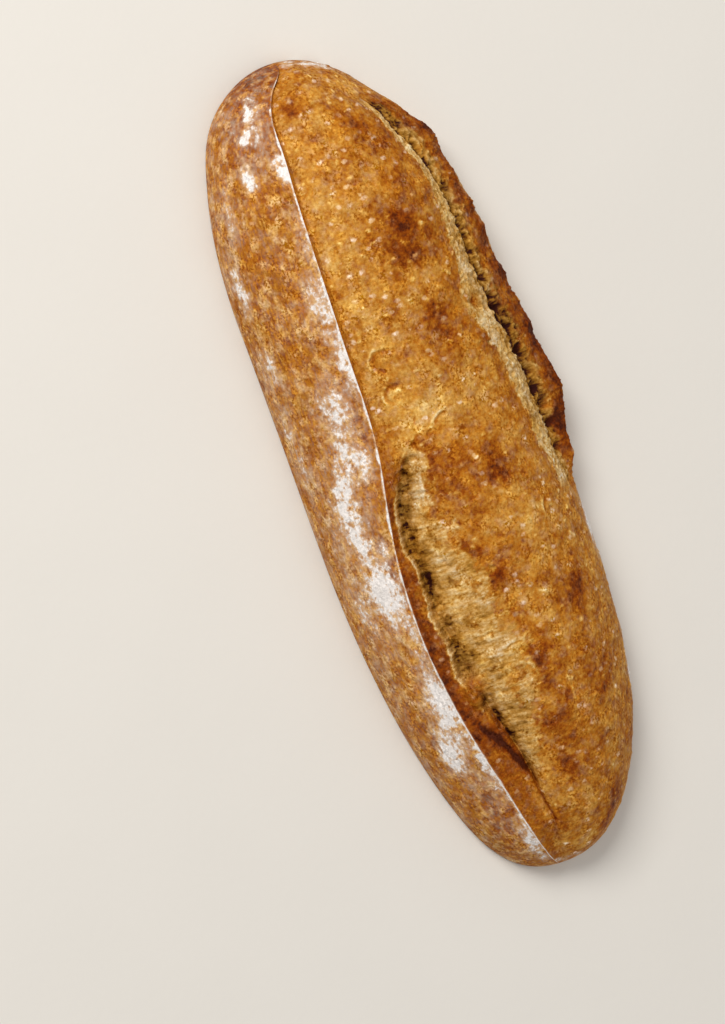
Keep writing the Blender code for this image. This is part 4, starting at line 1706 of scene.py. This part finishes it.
@dataclass(frozen=True)
class Studio:
    """A pale floor, soft light, and the camera at the photo's angle."""

    frame_pixels: tuple[int, int] = (725, 1024)
    pixel: float = 0.30485
    loaf_middle: tuple[float, float] = (426.9, 461.9)
    axis_in_frame: tuple[float, float] = (0.31306, 0.94973)
    roll: float = 20.0
    pitch: float = 6.0
    distance: float = 2000.0
    lens: float = 100.0
    floor_size: float = 6.0
    floor_drop: float = 0.3
    floor_colour: Colour = shade(226, 221, 213)
    floor_shade: float = 0.97
    floor_waves: tuple[float, float, float] = (40.0, 20.0, 3.0)
    floor_relief: float = 0.05
    sky_colour: Colour = (1.0, 0.99, 0.98)
    sky_strength: float = 0.36

    def axes(self) -> tuple[Vector, Vector, Vector]:
        """How the camera is turned.

        Returns:
            Its right, up and backward directions.
        """
        roll, pitch = math.radians(self.roll), math.radians(self.pitch)
        ahead = Vector((math.sin(pitch), math.sin(roll) * math.cos(pitch), -math.cos(roll) * math.cos(pitch)))
        down_loaf = Vector(
            (math.cos(pitch), -math.sin(roll) * math.sin(pitch), math.cos(roll) * math.sin(pitch))
        )
        across_loaf = Vector((0, math.cos(roll), math.sin(roll)))
        lean, fall = self.axis_in_frame
        right = down_loaf * lean + across_loaf * fall
        up = across_loaf * lean - down_loaf * fall
        return right, up, -ahead

    def camera(self) -> bpy.types.Object:
        """Places the camera so that the loaf lies in the frame as in the photo.

        Returns:
            The camera.
        """
        right, up, back = self.axes()
        wide, high = self.frame_pixels
        slide = (wide / 2 - self.loaf_middle[0]) * self.pixel
        lift = (self.loaf_middle[1] - high / 2) * self.pixel
        place = (right * slide + up * lift + back * self.distance) * MM
        bpy.ops.object.camera_add()
        made = bpy.context.object
        made.name = "photo_camera"
        turn = Matrix((right, up, back)).transposed()
        made.matrix_world = Matrix.Translation(place) @ turn.to_4x4()
        made.data.lens = self.lens
        made.data.sensor_fit = "VERTICAL"
        made.data.sensor_height = self.lens * high * self.pixel / self.distance
        made.data.clip_end = 20.0
        bpy.context.scene.camera = made
        return made

    def floor(self) -> bpy.types.Object:
        """Lays the pale floor just under the loaf.

        Returns:
            The floor.
        """
        deselect_all()
        bpy.ops.mesh.primitive_plane_add(size=self.floor_size, location=(0, 0, -self.floor_drop * MM))
        made = bpy.context.object
        made.name = "pale_floor"
        graph = Graph("pale_floor")
        clouded, dulled, rough = (graph.speckle(Speckle(size)) for size in self.floor_waves)
        darker = tuple(self.floor_shade * channel for channel in self.floor_colour)
        colour = graph.mix(0.5 + clouded, self.floor_colour, darker)
        finish = graph.finish(colour, 0.8 + 0.1 * dulled, rough, self.floor_relief)
        made.data.materials.append(finish)
        return made

    def lamp(self, name: str, place: Vector, size: float, power: float, colour: Colour) -> bpy.types.Object:
        """A square soft light aimed at the loaf.

        Args:
            name: the lamp's name.
            place: where it hangs, in metres.
            size: its side, in metres.
            power: its power, in watts.
            colour: its colour.

        Returns:
            The lamp.
        """
        bpy.ops.object.light_add(type="AREA", location=place)
        made = bpy.context.object
        made.name = name
        made.data.size = size
        made.data.energy = power
        made.data.color = colour
        made.rotation_euler = (-place).to_track_quat("-Z", "Y").to_euler()
        return made

    def lights(self) -> None:
        """A large soft key from the photo's upper left, a weak fill, and a pale sky."""
        right, up, back = self.axes()
        self.lamp("key", (back * 1.1 - right * 0.30 + up * 0.60) * 1.2, 0.7, 19.4, (1.0, 0.985, 0.96))
        self.lamp("fill", (back * 0.9 + right * 1.0 - up * 0.3) * 1.3, 1.2, 5.6, (1.0, 0.99, 0.97))
        world = bpy.data.worlds.new("pale_sky")
        world.use_nodes = True
        sky = world.node_tree.nodes["Background"]
        sky.inputs["Color"].default_value = (*self.sky_colour, 1.0)
        sky.inputs["Strength"].default_value = self.sky_strength
        bpy.context.scene.world = world
        bpy.context.scene.view_settings.view_transform = "Standard"


def main() -> None:
    """Builds the loaf's pieces, then the studio round them."""
    logging.basicConfig(level=logging.INFO, format="%(name)s: %(message)s")
    builder = CrustBuilder(LoafForm(), BakeMap(), stations=700, seed=5)
    golden = BakedFinish().material("golden_crust")
    dusted = BakedFinish(beads=1.0, mottle=0.25, freckle=0.35, wan=1.15, fleck=0.3, painted_glitter=5.8)
    floured = dusted.material("floured_crust")
    crumb = CrumbFinish().material("open_crumb")
    FlouredSkin(builder).build(floured)
    BloomedCrust(builder).build(golden)
    RaggedEar(builder).build(golden)
    CutCrumb(builder).build(crumb)
    studio = Studio()
    studio.floor()
    studio.camera()
    studio.lights()


if __name__ == "__main__":
    main()
